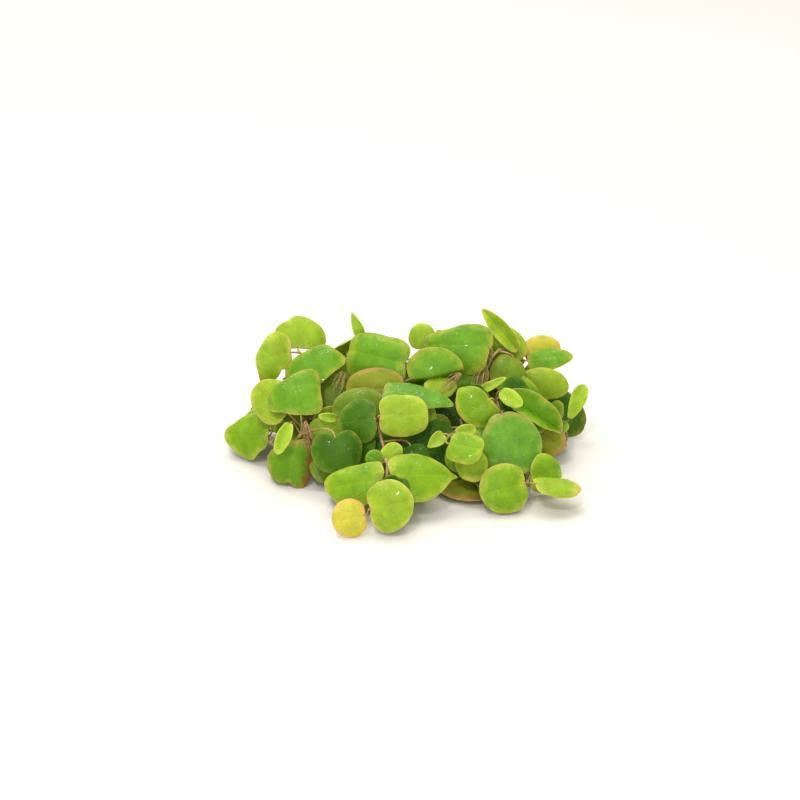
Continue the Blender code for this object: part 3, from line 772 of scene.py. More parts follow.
# The left sprig
# It runs out to the left and lies on the table. A broad angular leaf stands over it, and the lowest one
# is torn, with brown dead tissue along one side.
add_sprig(
    "left", "front",
    stem=((-24.3, -6.5, 7.5), (-24.8, -8.8, 12.8), (-29, -13, 8), (-33.2, -9.6, 1)),
    leaves=(
        Leaf(
            (-24.8, -3.6, 14.6), (-27, 6.6, 8.5), 14.4,
            lobe=0.05, wave=0.025, corners=(3, 0.15, -38), peak=(0.2, -40), blush=(0.35, -85),
        ),
        Leaf((-28.2, -3, 10), (-36.4, 3.3, 4.4), 11.2, tone="lime", blush=(0.45, 30)),
        Leaf(
            (-33.2, -9.2, 2.6), (-43.4, -8.6, -3.5), 11.2,
            roll=-8, wave=0.04, corners=(4, 0.1, 0), tone="fresh",
        ),
        Leaf(
            (-26, -10.2, 14.2), (-28.2, -22.46, 11.6), 11.8,
            dent=(0.26, 5), corners=(3, 0.1, 40), tone="bruised", blush=(1.1, 92),
        ),
        Leaf((-16.2, -9.4, 20.4), (-15, -18.4, 21), 13, lobe=0.26, tone="deep", blush=(0.2, 90)),
    ),
    young=(
        Leaf((-27.6, -6, 17.2), (-30.8, -13.6, 17.4), 4.3, fold=33, curl=0, tone="fresh"),
    ),
    inner=(
        Leaf((-13.8, -8.6, 12), (-22.8, -6.6, 12.4), 7.4, tone="lime", blush=(0.5, 180)),
        Leaf((-16, -13.4, 12), (-20.8, -20, 14), 9.4, tone="olive", blush=(0.4, 180)),
        Leaf((-16.4, -4.4, 5), (-17.4, 7, 2.4), 9.4, tone="olive"),
        Leaf((-23.6, -3.2, 1), (-26.6, -10.8, 3), 8.8, tone="olive"),
        Leaf((-27.5, -16, 3.7), (-24.9, -10.3, -6.3), 11.5, roll=20, fold=5, curl=-14, tone="lime"),
        Leaf((-25.6, -3.9, 5.6), (-29.5, 2.8, -1.4), 11.9, roll=-36, fold=5, curl=-14, tone="fresh"),
        Leaf((-32, -7.7, -0.4), (-32.6, -0.3, -11.5), 15.2, roll=12, fold=14, curl=-14),
        Leaf(
            (-29.5, -18.8, 10.6), (-26.6, -14.8, 3.8), 9.2,
            roll=32, fold=14, tone="fresh", blush=(0.4, -30),
        ),
        Leaf(
            (-21.3, -6.2, 9.6), (-13.2, -5.2, 5.1), 8.6,
            roll=8, fold=14, curl=10, tone="lime", blush=(0.3, -90),
        ),
        Leaf((-30.4, -8.4, 2.9), (-25.9, -4.1, 4.5), 6.6, roll=-56, dent=(0.2, -60), wave=0.03),
        Leaf(
            (-36.9, -11.1, -5.2), (-40, -8.3, -11.9), 9.2,
            roll=-48, fold=14, curl=10, wave=0.02, tone="deep",
        ),
    ),
)

# The upper left sprig
# A short sprig that stands up behind the left one. Two of its three leaves are a pale yellow-green.
add_sprig(
    "upper_left", "front",
    stem=((-21, 2, 4), (-23, 8, 2), (-24.6, 11.6, 0.6)),
    leaves=(
        Leaf(
            (-25.5, 13, -1), (-24.6, 20.9, -4.5), 13.9,
            dent=(0.2, 40), corners=(3, 0.04, 20), tone="lime",
        ),
        Leaf(
            (-27.4, 11.8, 2.2), (-35.9, 9.8, 4), 12.2,
            wave=0.02, dent=(0.24, 106), corners=(2, 0.16, 34), tone="lime", peak=(0.24, 46),
            blush=(0.3, 180),
        ),
        Leaf(
            (-22.8, 12.2, 3.4), (-19.3, 4.6, 8), 15.4,
            roll=5, lobe=0.1, corners=(4, 0.08, 75), blush=(0.3, -90),
        ),
    ),
    inner=(
        Leaf((-14.7, -12.4, -4.2), (-8.9, -7.4, -13.7), 11.8, roll=36, fold=14, tone="lime"),
        Leaf(
            (-22.3, 3.7, 2), (-24.8, 2, -8.2), 11.7,
            roll=32, fold=5, curl=-14, lobe=0.14, wave=0.04, tone="lime", blush=(0.6, -30),
        ),
        Leaf(
            (-24.2, 2.3, 4.5), (-30.3, -5.4, 7.9), 9.9,
            roll=4, fold=14, curl=-14, wave=0.02, tone="olive",
        ),
        Leaf((-21.9, 4.2, 1.6), (-27.7, 5.9, -5.6), 9.8, roll=64, fold=14, tone="fresh"),
        Leaf(
            (-17.5, -11.6, -7.1), (-20.2, -8.5, -13.9), 8.4,
            roll=-40, fold=5, curl=-14, dent=(0.2, -60), tone="bronze",
        ),
        Leaf((-21.3, -3.1, -1.4), (-22.1, -4.5, -8.7), 6.9, roll=32, curl=10, dent=(0.2, 0), tone="olive"),
    ),
)

# The top sprig
# It grows back over the middle of the clump and carries its largest leaves, with a bronze one in front.
add_sprig(
    "top", "front",
    stem=((-0.4, 0, 6), (0.6, 4, 6.4), (0.8, 9, 0.4), (-3, 12.6, -2), (-9, 15, -3.2)),
    leaves=(
        Leaf((0.4, 2.6, 8.4), (-13.4, 3, 7), 11.2, roll=-4, tone="bronze", blush=(0.6, -90)),
        Leaf((-4.4, -2.9, 11.2), (-17, -2.7, 10.6), 12.8, roll=-8, lobe=0.12, tone="olive"),
        Leaf((1, 9, 6.4), (-13.3, 12.6, 1), 13.6, roll=-12, lobe=0.12, point=-0.1, corners=(4, 0.08, -40)),
        Leaf(
            (2.6, 5.2, 8.8), (15.8, 8.2, 9), 15,
            roll=-30, fold=-38, curl=-10, tone="green", blush=(0.2, 90),
        ),
        Leaf((-3.6, 2.2, 13.4), (13.4, -1.3, 15.6), 7.8, roll=38, point=0.45, tone="blue"),
    ),
    young=(
        Leaf((-9.7, 15.8, -3), (-12.1, 22, -2.4), 2.8, fold=22, curl=0, point=0.5, tone="lime"),
        Leaf((5.2, 12.8, -0.6), (6, 19.2, -0.4), 7.2, tone="lime"),
    ),
    inner=(
        Leaf((-8, 3.6, 2.6), (-16, 8.6, 0.6), 9.6, tone="olive", blush=(0.5, 180)),
        Leaf((6.4, 2.8, 10), (14.2, 3.6, 8.8), 6.4, roll=30, tone="lime", blush=(0.4, 180)),
        Leaf(
            (0.4, 2.7, 4.3), (-0.5, 5.3, -7.7), 12.5,
            roll=-16, fold=14, curl=10, lobe=0.14, wave=0.02, tone="deep",
        ),
        Leaf((2, 0.7, 4.1), (8.4, 3.2, -0.7), 8.5, roll=68, fold=14, curl=10, blush=(0.4, 120)),
        Leaf(
            (-4.7, 10.8, -2.7), (-12.5, 12.7, -7.7), 10.7,
            roll=-68, fold=5, corners=(3, 0.06, -60), wave=0.04, tone="lime", blush=(0.4, -60),
        ),
        Leaf((2.6, 7.3, 2.4), (8.1, 8.2, 3.4), 5.9, roll=28, curl=10, corners=(3, 0.06, 40), tone="bronze"),
    ),
)

# The right sprig
# It runs to the right and then forward. Its broad bluish leaf faces the viewer, and a round leaf and a
# narrow folded one grow at its end.
add_sprig(
    "right", "front",
    stem=(
        (23.3, -1.2, 7.4),
        (24, -0.8, 12),
        (27, -8, 12),
        (30.6, -16.6, 13.8),
        (31.4, -20.2, 18),
        (31.8, -20.8, 22.2),
    ),
    leaves=(
        Leaf(
            (22.2, 0.2, 15.2), (15.6, -4.9, 15.2), 12.2,
            lobe=0.12, corners=(2, 0.05, -50), tone="fresh", peak=(0.14, -82), blush=(0.3, 0),
        ),
        Leaf(
            (25.6, -3.6, 16.6), (30.4, -18.2, 20.4), 15.4,
            roll=10, point=-0.18, corners=(4, 0.04, 10), tone="blue", blush=(0.45, 180),
        ),
        Leaf(
            (26, 0.8, 10.6), (40.2, -8, 6.8), 9.6,
            roll=24, fold=56, curl=-16, tone="green", blush=(0.4, 0),
        ),
        Leaf((31, -20.8, 26.2), (20, -23.8, 27.6), 12.6, lobe=0.1, tone="fresh", blush=(0.4, -80)),
        Leaf((32.8, -19, 21.6), (40.2, -17, 17.2), 9, roll=-10, corners=(3, 0.07, -35), tone="fresh"),
        Leaf((34, -21, 26.2), (45.2, -22, 22.6), 9.6, roll=62, tone="lime", blush=(0.9, -15)),
    ),
    young=(
        Leaf((19.8, 2.2, 12.2), (26.5, 5.6, 13.2), 2.4, fold=24, curl=0, point=0.3, tone="lime"),
        Leaf((25.2, 2, 15), (30.6, -1.4, 15.8), 4, fold=28, tone="lime"),
        Leaf((34, -7.6, 5), (40.8, -12.4, 4.8), 8.6, tone="bronze", blush=(0.9, 10)),
    ),
    inner=(
        Leaf((20.6, -2.6, 6), (8.4, -6, 6.6), 13.4, tone="deep"),
        Leaf(
            (24.1, -18.8, 11.7), (24.4, -23.8, 24.3), 14.5,
            roll=-4, fold=5, curl=10, lobe=0.18, wave=0.02, tone="deep",
        ),
        Leaf((21, -14.8, 3.2), (31.5, -13.7, 1), 12.1, roll=72, fold=5, curl=-14),
        Leaf((22.2, -19.2, 10.9), (27.8, -23.8, 19.2), 9.9, roll=44, fold=5),
        Leaf((22.2, -4.8, 7.2), (25, -14.3, 15.8), 14.7, roll=52, fold=14, wave=0.02, tone="blue"),
        Leaf((30.5, -6.8, 10.3), (36.4, -2, 6.2), 8.4, roll=0, curl=-14, corners=(3, 0.06, 60)),
        Leaf(
            (27.3, -3.4, 9.7), (30.4, 4.9, 3.3), 10.6,
            roll=-24, fold=5, curl=-14, corners=(2, 0.06, 20), wave=0.02, tone="deep",
        ),
        Leaf(
            (24.1, -4, 3.4), (30.8, -11.8, 3.9), 11.1,
            roll=-20, fold=14, corners=(2, 0.06, 40), wave=0.03, tone="lime", blush=(0.3, 30),
        ),
        Leaf(
            (31.8, -19, 11.5), (35.2, -14.2, 3.9), 9.9,
            roll=36, fold=5, curl=10, corners=(3, 0.06, 0), wave=0.04, tone="fresh", blush=(0.4, 0),
        ),
        Leaf((28.4, -24.9, 20.6), (24.6, -27.3, 24.8), 6.8, roll=-52, fold=5, curl=10, tone="lime"),
        Leaf(
            (32.9, -20.4, 17), (39.3, -19.6, 15.2), 6.1,
            roll=-40, fold=5, curl=10, wave=0.03, tone="lime",
        ),
        Leaf(
            (22, -1, 11.9), (17.4, 3.9, 10.8), 6.3,
            roll=64, corners=(2, 0.06, 80), wave=0.03, tone="deep",
        ),
    ),
)

# The corner sprig
# It stands up at the right, behind the right sprig. A long folded leaf points up from it, and one leaf
# has turned amber.
add_sprig(
    "corner", "front",
    stem=((26.5, 0.5, -4), (29.6, 5, -9.5), (30.2, 10.6, -7.4), (26, 12.8, -4.4), (22.6, 10.6, 2.6)),
    leaves=(
        Leaf(
            (22.4, 13, 5), (7, 13.8, 2), 12.6,
            roll=-14, point=0.1, corners=(3, 0.14, -128), blush=(0.1, 180),
        ),
        Leaf((29.2, 12.6, -4), (20.6, 22.6, -5), 5.4, fold=40, curl=-6, point=0.12, tone="lime"),
        Leaf((28.2, 10.4, -0.8), (25, 2.4, 3.2), 9.2, tone="olive"),
        Leaf((31.4, 12.3, -9.6), (40.2, 13, -12.6), 7.4, tone="amber", blush=(0.4, -90)),
        Leaf((32.2, 9.8, -7), (43.2, 10.8, -6.2), 6.8, roll=30, point=0.3),
    ),
    inner=(
        Leaf((21.2, 7.6, 3), (11.4, 3.4, 3.4), 8.4),
        Leaf((29.4, 9.8, -6.4), (23.6, 17.4, -7), 10, tone="lime", blush=(0.5, 180)),
        Leaf((28.6, 5, 0.6), (35.6, -6.8, 2.6), 8, tone="green", blush=(0.3, 0)),
        Leaf((22.9, -2, -2.9), (12.6, -0.5, -7.2), 11.5, roll=56, lobe=0.14, wave=0.02, tone="olive"),
        Leaf((26.4, 4.4, -8.7), (18.7, 1.8, -7.7), 9.1, roll=32, fold=14, curl=-14, lobe=0.14, wave=0.02),
        Leaf((20.7, 12.2, 0), (14.5, 17, -6.2), 10.7, roll=-56, fold=14, curl=10, wave=0.02, tone="fresh"),
        Leaf(
            (25.1, 2.8, -5.4), (20.3, 2.7, -1.2), 7.4,
            roll=44, fold=5, curl=10, corners=(2, 0.06, 80), wave=0.02, tone="olive",
        ),
    ),
)

# The edge sprig
# It lies along the right edge of the clump, with a pale leaf over a dark one.
add_sprig(
    "edge", "front",
    stem=((33, -2.6, -7), (37, -4.6, -7.4), (41, -5.8, -7)),
    leaves=(
        Leaf((35.3, 0.6, -6), (36.5, 8, -4.4), 13.6, lobe=0.04, arch=0.14, tone="lime"),
        Leaf((35.2, -1, -10.4), (46, -7, -13), 12.6, wave=0.03, point=0.2, tone="deep", blush=(0.7, 20)),
    ),
    young=(
        Leaf((42.4, -4.4, -5.6), (46, 3.9, -5), 4.4, fold=27, curl=0, point=-0.35, tone="lime"),
    ),
    inner=(
        Leaf(
            (31.1, -9.4, -9.8), (18.9, -8.4, -10.3), 12.7,
            roll=-64, fold=5, corners=(3, 0.06, 0), tone="olive",
        ),
        Leaf(
            (33.6, 0.7, -7.7), (35.7, 9.8, -13), 10.5,
            roll=4, corners=(3, 0.06, 0), tone="olive", blush=(0.6, -60),
        ),
        Leaf(
            (32.1, -13.8, -2.4), (29.7, -19.4, 9.3), 13.4,
            roll=-28, fold=5, curl=-14, lobe=0.14, tone="deep", blush=(0.3, 30),
        ),
        Leaf(
            (32.9, -4.3, -6.1), (27, -8.3, 1.9), 11.5,
            roll=-68, fold=5, corners=(2, 0.06, -80), tone="bronze", blush=(0.4, -120),
        ),
        Leaf((33.2, -7.3, -16.1), (33.8, -2.4, -28), 13.2, roll=12, fold=5, curl=-14, blush=(0.4, 30)),
        Leaf((38, -6.2, -5.2), (38.9, -10.2, 2), 8.4, roll=-28, lobe=0.14),
        Leaf((31.8, -2.5, -7.8), (24.2, -4.8, -10.6), 9.7, roll=-64, curl=10, tone="olive"),
        Leaf(
            (37.6, -10.6, -5.4), (31.1, -7.7, -9.6), 7.6,
            roll=-56, fold=5, lobe=0.14, wave=0.03, blush=(0.4, -150),
        ),
        Leaf(
            (40.8, -10.7, -9.2), (31.2, -12.2, -6.6), 10.9,
            roll=-72, curl=-14, dent=(0.2, 0), tone="fresh", blush=(0.6, -150),
        ),
        Leaf((34.4, -6.4, -4.9), (29.3, -8.1, -1.3), 7.1, roll=-60, fold=5, tone="fresh", blush=(0.6, -60)),
        Leaf((36.7, -3.5, -3.9), (40.7, -4, 1.9), 7.8, roll=12, fold=5, curl=-14, tone="olive"),
    ),
)

# The low sprig
# A short sprig that comes forward low down, with two small bright leaves at its end.
add_sprig(
    "low", "front",
    stem=((15.5, -6.5, 10), (13.5, -8, 16), (12.4, -8.9, 20.6)),
    leaves=(
        Leaf((12.4, -11, 26), (20.8, -12.8, 28), 9, roll=26, corners=(4, 0.05, 40), tone="fresh"),
        Leaf((17.2, -12.8, 20.8), (18.8, -20.4, 22.4), 8.2, tone="lime", blush=(0.5, 0)),
    ),
    young=(
        Leaf((10.8, -8.6, 20.4), (6.9, -11.9, 20.6), 3.4, fold=22, curl=0, point=0.45, tone="fresh"),
        Leaf((14, -8.2, 20.4), (18.9, -7.2, 19), 3.8, fold=30, curl=0, tone="lime"),
    ),
    inner=(
        Leaf((13.6, -9.4, 13.4), (0.6, -14, 13.8), 13.4, tone="deep"),
        Leaf((15.2, -10.4, 11.4), (9, -20, 13.2), 12.6, tone="deep"),
        Leaf(
            (11, -18.6, 8.4), (21, -25, 21), 13.4,
            roll=50, fold=2, curl=-6, arch=0.03, wave=0.02, tone="bronze", blush=(1.2, -30),
        ),
        Leaf(
            (13.3, -13.7, 1.9), (12.4, -7.6, -8.9), 12.2,
            roll=4, curl=-14, dent=(0.2, 60), wave=0.02, tone="deep", blush=(0.3, 30),
        ),
        Leaf((17.8, -14.2, 2.3), (18.4, -8.6, -7.3), 10.4, roll=16, curl=-14, lobe=0.14, blush=(0.3, -150)),
        Leaf(
            (12.6, -6.9, 10.7), (3.4, -7.8, 8.3), 9.2,
            roll=28, curl=-14, dent=(0.2, 90), wave=0.04, tone="olive",
        ),
        Leaf(
            (15.6, -5.8, 3.3), (20.6, -6.7, -4.7), 10.8,
            roll=40, fold=5, curl=-14, corners=(3, 0.06, 60), blush=(0.6, -30),
        ),
        Leaf(
            (16.8, -9.9, 14.5), (23.8, -14.5, 12.5), 9.2,
            roll=24, fold=14, curl=-14, lobe=0.14, wave=0.04, tone="fresh", blush=(0.6, 120),
        ),
        Leaf((7.2, -17.5, 6.3), (1.3, -17.8, 6.3), 5.6, roll=-64, curl=-14, lobe=0.18, wave=0.04),
        Leaf((13.7, -12.1, 16.9), (15.2, -18, 18), 6.3, roll=4, dent=(0.2, 30), wave=0.03),
        Leaf((19.8, -17.6, 9.2), (16.5, -15.2, 5.2), 6.2, roll=-56, fold=5, curl=10),
    ),
)

# The back left sprig
# The first of three sprigs on the far side, laid out as seen from behind. It hangs toward the end that is
# on the left from the front.
add_sprig(
    "back_left", "back",
    stem=((15.5, -2, 9), (17.5, -3, 16), (18, -5, 19.8), (22.5, -10, 20), (27, -14.4, 16)),
    leaves=(
        Leaf((20, -5, 22), (32, -5.4, 16), 14.5, roll=36, corners=(2, 0.06, -60)),
        Leaf(
            (17, -3.6, 22.6), (9, 3.2, 22), 13.6,
            roll=-20, corners=(3, 0.04, 20), tone="lime", blush=(0.4, 90),
        ),
        Leaf(
            (29.2, -13.8, 17.8), (40.4, -18, 11), 12,
            roll=-20, wave=0.04, corners=(4, 0.05, 0), blush=(0.4, 0),
        ),
        Leaf((26.4, -17.4, 20.4), (20, -25.5, 24.4), 12.2, roll=22, lobe=0.16, tone="deep"),
    ),
    young=(
        Leaf((16.8, 1.4, 13.4), (20.6, 6, 12), 5.1, fold=24, curl=0, tone="fresh"),
    ),
    inner=(
        Leaf(
            (22.9, -13.4, 16.2), (10.2, -13, 13.1), 11.8,
            roll=-60, fold=5, curl=-14, wave=0.04, tone="fresh", blush=(0.4, -60),
        ),
        Leaf((13.6, -2.3, 9.9), (4.9, -2.6, 1.9), 11.8, roll=44, curl=10, dent=(0.2, -30), tone="fresh"),
        Leaf(
            (13.1, -11.1, -7), (20.7, -7.2, -13.7), 11.8,
            roll=64, fold=14, curl=10, tone="olive", blush=(0.4, -90),
        ),
        Leaf(
            (13.6, -1.5, 12.9), (2.2, 0.7, 17.2), 11.5,
            roll=-56, fold=14, wave=0.04, tone="blue", blush=(0.4, -30),
        ),
        Leaf(
            (21.8, -21.1, 14.3), (9.1, -23, 17.3), 12.4,
            roll=-64, fold=14, curl=10, lobe=0.14, tone="deep", blush=(0.4, -150),
        ),
        Leaf((18.6, -6.1, 5.6), (24.5, -14.1, 11.7), 12.4, roll=-16, fold=5, lobe=0.14),
        Leaf((16.4, -3.7, 16.1), (6.7, -5.4, 21.9), 11, roll=-36, fold=5, curl=10, wave=0.03, tone="lime"),
        Leaf((23.6, -12.3, 20.4), (17.8, -9.5, 29), 10.8, roll=64, fold=5, curl=10, tone="blue"),
        Leaf(
            (28.5, -14.2, 13.8), (32.8, -13.7, 7), 7.8,
            roll=0, fold=14, corners=(3, 0.06, -60), tone="blue",
        ),
        Leaf((14.1, -3.7, 2.4), (5.8, -6, -0.1), 9.1, roll=4, curl=10),
        Leaf(
            (17.7, -4.1, 4.4), (21.2, -7.1, -0.3), 6.5,
            roll=-28, fold=5, curl=10, lobe=0.14, wave=0.04, blush=(0.6, -90),
        ),
        Leaf(
            (19.8, -1.6, 11.7), (25.4, 0.5, 12.3), 6.5,
            roll=-16, fold=14, curl=10, dent=(0.2, 60), wave=0.02, tone="lime",
        ),
    ),
)

# The back right sprig
# It branches like the back left one, and hangs toward the other end.
add_sprig(
    "back_right", "back",
    stem=((-14.5, -2, 9), (-17, -3, 16), (-17.6, -5, 19.8), (-22, -10, 20), (-27, -14.4, 17)),
    leaves=(
        Leaf(
            (-19.6, -5, 24), (-31.4, -4.6, 21.4), 13.4,
            roll=-24, corners=(2, 0.06, 50), tone="olive", blush=(0.4, -60),
        ),
        Leaf((-16.2, -3.8, 22.6), (-8.8, 3.4, 25), 13.6, roll=30, dent=(0.16, 20)),
        Leaf(
            (-29.4, -13.8, 19.4), (-40, -17, 13.8), 13.6,
            roll=22, lobe=0.14, tone="lime", blush=(0.3, 60),
        ),
        Leaf((-26.6, -17.4, 21), (-20.4, -26.2, 25.4), 11.6, roll=-20, wave=0.03, corners=(3, 0.04, 15)),
    ),
    young=(
        Leaf((-20.6, -11.6, 21.8), (-16.2, -14.8, 23.6), 6.8, fold=12, tone="fresh"),
    ),
    inner=(
        Leaf(
            (-22.9, -21.6, 13.4), (-21.2, -26.8, 22.8), 10.3,
            roll=20, fold=14, curl=10, corners=(3, 0.06, 60),
        ),
        Leaf((-13.3, -2.1, 13.8), (-4.2, -2.6, 20.8), 12.6, roll=0, fold=14, tone="blue", blush=(0.6, 60)),
        Leaf(
            (-23.8, -13.6, 19.5), (-12.7, -18, 21.8), 12.2,
            roll=20, fold=5, corners=(3, 0.06, -40), tone="deep", blush=(0.3, 150),
        ),
        Leaf((-23, -13.9, 17.2), (-11.1, -15.7, 14.7), 13.1, roll=24, fold=5, curl=10),
        Leaf(
            (-20.3, -8.9, 23.1), (-16.2, -10.8, 31.9), 9.6,
            roll=4, curl=-14, tone="deep", blush=(0.3, -120),
        ),
        Leaf((-23.9, -14.9, 15.2), (-13.3, -15.4, 11.5), 12.2, roll=-16, fold=5),
        Leaf(
            (-15.4, -4.1, 19.7), (-7.7, 1.2, 22.1), 8.6,
            roll=24, fold=5, curl=-14, wave=0.02, blush=(0.6, 120),
        ),
        Leaf(
            (-26.4, -14, 21.4), (-32.4, -18.7, 26.2), 8.6,
            roll=-60, fold=5, curl=-14, tone="fresh", blush=(0.6, 0),
        ),
        Leaf((-11.5, -1.9, 13.1), (-3, -2, 17.6), 9.6, roll=20, fold=14, curl=-14, wave=0.02, tone="lime"),
        Leaf(
            (-15.9, -7.1, 20), (-7.7, -7.1, 23.5), 8,
            roll=4, fold=5, curl=10, tone="olive", blush=(0.3, 150),
        ),
        Leaf((-16.8, -0.5, 10.7), (-21.4, 3.1, 17.3), 8.8, roll=0, fold=5),
        Leaf(
            (-27.7, -13.3, 22.5), (-33.3, -16.9, 27.9), 7.7,
            roll=-52, curl=10, corners=(3, 0.06, -80), tone="deep",
        ),
        Leaf(
            (-24.7, -10.7, 19.1), (-22.1, -4.3, 19), 6.4,
            roll=-60, dent=(0.2, 0), tone="blue", blush=(0.3, -90),
        ),
        Leaf((-14.2, -1.8, 13.1), (-7.9, 0.2, 10.2), 6.6, roll=0, dent=(0.2, -90), tone="blue"),
        Leaf((-16.2, -5.4, 17.5), (-13.5, -7.6, 13), 6, roll=64, curl=10, wave=0.02, tone="fresh"),
        Leaf(
            (-26.4, -19, 12.4), (-29.8, -16.8, 8.7), 6.3,
            roll=-44, fold=14, curl=10, wave=0.02, tone="fresh",
        ),
    ),
)

# The back low sprig
# It comes out low in the middle of the far side and lies on the table.
add_sprig(
    "back_low", "back",
    stem=((0, -6, 9), (0.3, -11, 17), (0, -16.6, 23)),
    leaves=(
        Leaf((1.8, -17, 25.2), (14, -19, 25.5), 12.9, roll=26, corners=(4, 0.04, 30), tone="fresh"),
        Leaf(
            (-1.8, -17, 25), (-12.6, -22.4, 26.2), 13.4,
            roll=-8, lobe=0.14, tone="bronze", blush=(0.4, 0),
        ),
        Leaf((0.2, -12.6, 20.6), (-2.2, -2.4, 17.4), 13, roll=24, corners=(3, 0.05, -40), blush=(0.3, 180)),
    ),
    inner=(
        Leaf((-0.2, -20.7, 15.1), (-13.6, -19.1, 14.3), 12.5, roll=-56, fold=5, curl=10, dent=(0.2, -90)),
        Leaf(
            (6.2, -16.2, 3.9), (7.9, -20, 14.3), 10.2,
            roll=16, fold=5, curl=10, lobe=0.18, tone="bronze", blush=(0.4, -30),
        ),
        Leaf(
            (4.5, -8.6, 10.9), (16.9, -7.6, 7.1), 12.5,
            roll=-72, fold=5, curl=-14, corners=(2, 0.06, 20), tone="lime",
        ),
        Leaf(
            (-1.5, -2.6, 3.8), (-9.4, 4.4, 3.5), 10.9,
            roll=-68, dent=(0.2, 30), tone="fresh", blush=(0.3, 0),
        ),
        Leaf(
            (-1.5, -11.4, 15.6), (-9.8, -8.1, 6.6), 12.1,
            roll=-4, fold=5, curl=10, lobe=0.18, blush=(0.4, 120),
        ),
        Leaf((3.6, -15.9, 20.5), (13.3, -11.7, 15.9), 10.7, roll=36, curl=-14, wave=0.03),
        Leaf(
            (-0.5, -18.9, 9.1), (11.7, -21.6, 13.4), 12.8,
            roll=64, fold=14, tone="lime", blush=(0.6, 150),
        ),
        Leaf(
            (-0.8, -7.1, 6.3), (-4.8, -18.3, 8), 11.8,
            roll=-8, fold=14, curl=10, tone="deep", blush=(0.6, 120),
        ),
        Leaf(
            (-2.5, -14.1, 22), (-9.2, -10.5, 18.3), 8.3,
            roll=28, wave=0.03, tone="fresh", blush=(0.3, -90),
        ),
        Leaf(
            (3.4, -14.3, 18.5), (9.9, -10.2, 12.5), 9.1,
            roll=48, fold=5, corners=(3, 0.06, 60), tone="fresh",
        ),
        Leaf(
            (-5.7, -24.2, 18.5), (-9.9, -19.9, 8.7), 11.7,
            roll=-44, fold=5, curl=10, wave=0.03, tone="bronze",
        ),
        Leaf(
            (2.3, -14, -1.5), (-2, -10.1, -7.7), 9.7,
            roll=-44, fold=14, lobe=0.18, tone="lime", blush=(0.3, 60),
        ),
        Leaf(
            (-0.1, -7.6, 5.1), (-1.8, -12.6, 3.2), 5.2,
            roll=-24, fold=5, curl=10, dent=(0.2, 0), tone="blue", blush=(0.3, -60),
        ),
        Leaf((4.5, -21.9, 18.3), (3.3, -24.9, 23.7), 6.7, roll=-28, fold=5, curl=-14, lobe=0.14, wave=0.02),
        Leaf(
            (3.4, -16.4, 22), (7.9, -20.1, 24.7), 6.7,
            roll=-12, fold=14, corners=(3, 0.06, 40), tone="lime",
        ),
    ),
)


# The roots
# Fine soft roots hang in tufts from the joints of the stems. They are pinkish tan to brown, a fifth of a
# millimetre thick, and cling together where they are wet.

# Each tuft has its top, its end, how many roots it has, how far they spread, and the solid it stands for
TUFTS = {
    "upper_roots": ((21, 8.4, 2.6), (18.6, 1, 5.4), 56, 2.1, "upper_roots"),
    "left_roots": ((-22.4, -8.8, 9.6), (-20.8, -15.5, 10), 34, 1.3, "left_roots"),
    "middle_roots": ((5, -6, 3.4), (7, -16.5, 7), 40, 1.6, "middle_roots"),
    "left_joint_roots": ((-23.6, -5.6, 15.6), (-21.4, -14.2, 14.6), 18, 1.5, None),
    "top_joint_roots": ((15, 6.6, 9.6), (9.8, 2.2, 11.6), 16, 1.4, None),
    "small_joint_roots": ((-14.2, 6.6, 6), (-16.4, 1.6, 8), 12, 1.3, None),
}

TUFT_STEPS = 12
ROOT_SIDES = 5

root_tree, sizes = shape_tree(
    "roots",
    {"Count": 30.0, "Root Radius": 0.00009, "Wave": 0.0007, "Wave Size": 0.003, "Seed": 0.0},
)
line = add(root_tree, "GeometryNodeMeshToCurve", {"Mesh": sizes["Geometry"]})
many = {"Geometry": line, "Amount": sizes["Count"]}
many = add(root_tree, "GeometryNodeDuplicateElements", many, domain="SPLINE")
which = many.outputs["Duplicate Index"]
number = add(root_tree, "ShaderNodeMath", {0: which, 1: sizes["Seed"]}, operation="ADD")
span = {"Min": 0.45, "Max": 1.0, "ID": which, "Seed": sizes["Seed"]}
reach = add(root_tree, "FunctionNodeRandomValue", span, data_type="FLOAT")
cut = add(root_tree, "GeometryNodeTrimCurve", {"Curve": many, "End": reach}, mode="FACTOR")
span = {"Min": (-1.0,) * 3, "Max": (1.0,) * 3, "ID": which, "Seed": sizes["Seed"]}
aside = add(root_tree, "FunctionNodeRandomValue", span, data_type="FLOAT_VECTOR")
girth = add(root_tree, "GeometryNodeInputNamedAttribute", {"Name": "girth"}, data_type="FLOAT")
aside = add(root_tree, "ShaderNodeVectorMath", {0: aside, "Scale": girth}, operation="SCALE")
grain = add(root_tree, "ShaderNodeMath", {0: 1.0, 1: sizes["Wave Size"]}, operation="DIVIDE")
drift = {"W": number, "Scale": grain, "Detail": 1.0}
drift = add(root_tree, "ShaderNodeTexNoise", drift, noise_dimensions="4D").outputs["Color"]
drift = add(root_tree, "ShaderNodeVectorMath", {0: drift, 1: (0.5,) * 3}, operation="SUBTRACT")
drift = add(root_tree, "ShaderNodeVectorMath", {0: drift, "Scale": sizes["Wave"]}, operation="SCALE")
aside = add(root_tree, "ShaderNodeVectorMath", {0: aside, 1: drift}, operation="ADD")
spread = add(root_tree, "GeometryNodeSetPosition", {"Geometry": cut, "Offset": aside})
along = add(root_tree, "GeometryNodeSplineParameter").outputs["Factor"]
taper = add(root_tree, "ShaderNodeMapRange", {"Value": along, "To Min": 1.0, "To Max": 0.45})
thick = add(root_tree, "ShaderNodeMath", {0: taper, 1: sizes["Root Radius"]}, operation="MULTIPLY")
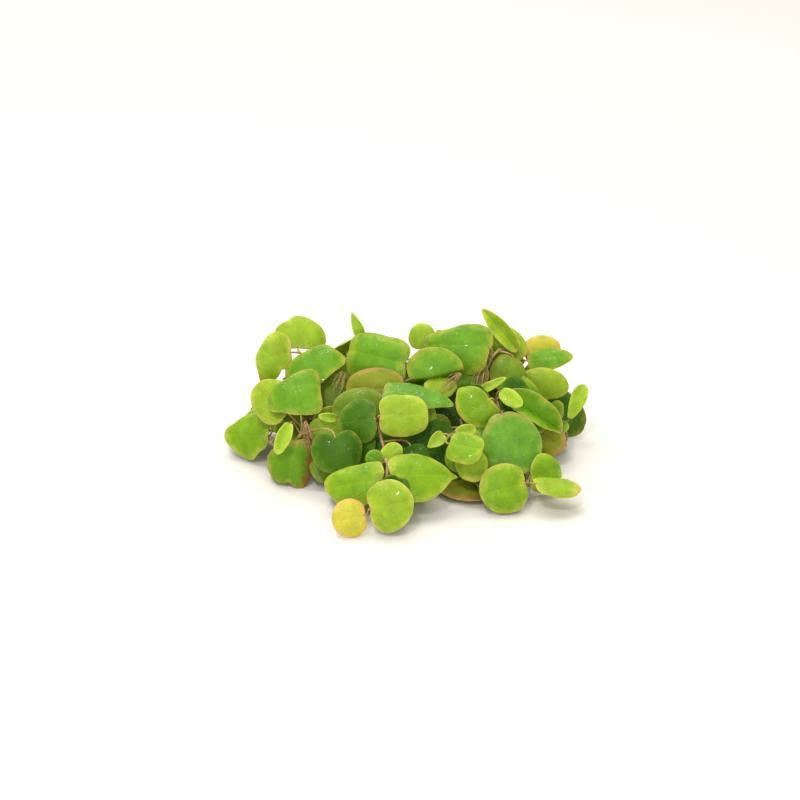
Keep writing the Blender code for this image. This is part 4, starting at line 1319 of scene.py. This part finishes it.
ring = add(root_tree, "GeometryNodeCurvePrimitiveCircle", {"Resolution": ROOT_SIDES, "Radius": 1.0})
tube = {"Curve": spread, "Profile Curve": ring.outputs["Curve"], "Scale": thick, "Fill Caps": True}
skin = add(root_tree, "GeometryNodeCurveToMesh", tube)
end_tree(root_tree, skin, sizes["Material"])

# Soft root tissue: young stretches are nearly clear and old ones brown, so a tuft is finely mottled
STRAND_MM = 0.5
ROOT_SKIN = {"Roughness": 0.45, "IOR": 1.4, "Specular_IOR_Level": 0.35}
ROOT_GLOW = {"Subsurface_Weight": 0.3, "Subsurface_Scale": 0.0005, "Subsurface_Radius": (0.6, 0.5, 0.3)}
root_skin, tree, shader = new_material("root_skin", **ROOT_SKIN, **ROOT_GLOW)
place = add(tree, "ShaderNodeTexCoord").outputs["Object"]
strands = add(tree, "ShaderNodeTexNoise", {"Vector": place, "Scale": 1 / (STRAND_MM * MM), "Detail": 2.0})
share = add(tree, "ShaderNodeMapRange", {"Value": strands, "From Min": 0.35, "From Max": 0.65})
paint = {"Factor": share, "A": linear("#D0B47A"), "B": linear("#8E6A3C")}
streaked = add(tree, "ShaderNodeMix", paint, data_type="RGBA")
relief = add(tree, "ShaderNodeBump", {"Height": strands, "Strength": 0.2, "Distance": 0.00005})
tree.links.new(in_use(streaked.outputs), shader.inputs["Base Color"])
tree.links.new(relief.outputs["Normal"], shader.inputs["Normal"])


def add_tuft(name, top, end, count, spread, replaces=None):
    """A tuft of roots between two places seen from the front, widest past its middle."""
    start, stop = seen("front", top), seen("front", end)
    shares = [step / TUFT_STEPS for step in range(TUFT_STEPS + 1)]
    girths = [spread * (0.25 + 0.75 * sin(pi * share * 0.9)) for share in shares]
    path = path_mesh([start.lerp(stop, share) for share in shares], girths)
    mesh = shaped(path, root_tree, Count=float(count), Seed=float(count), Material=root_skin)
    finished(name, "root", mesh, replaces=replaces)


for name, (top, end, count, spread, replaced) in TUFTS.items():
    add_tuft(name, top, end, count, spread, replaces=replaced)
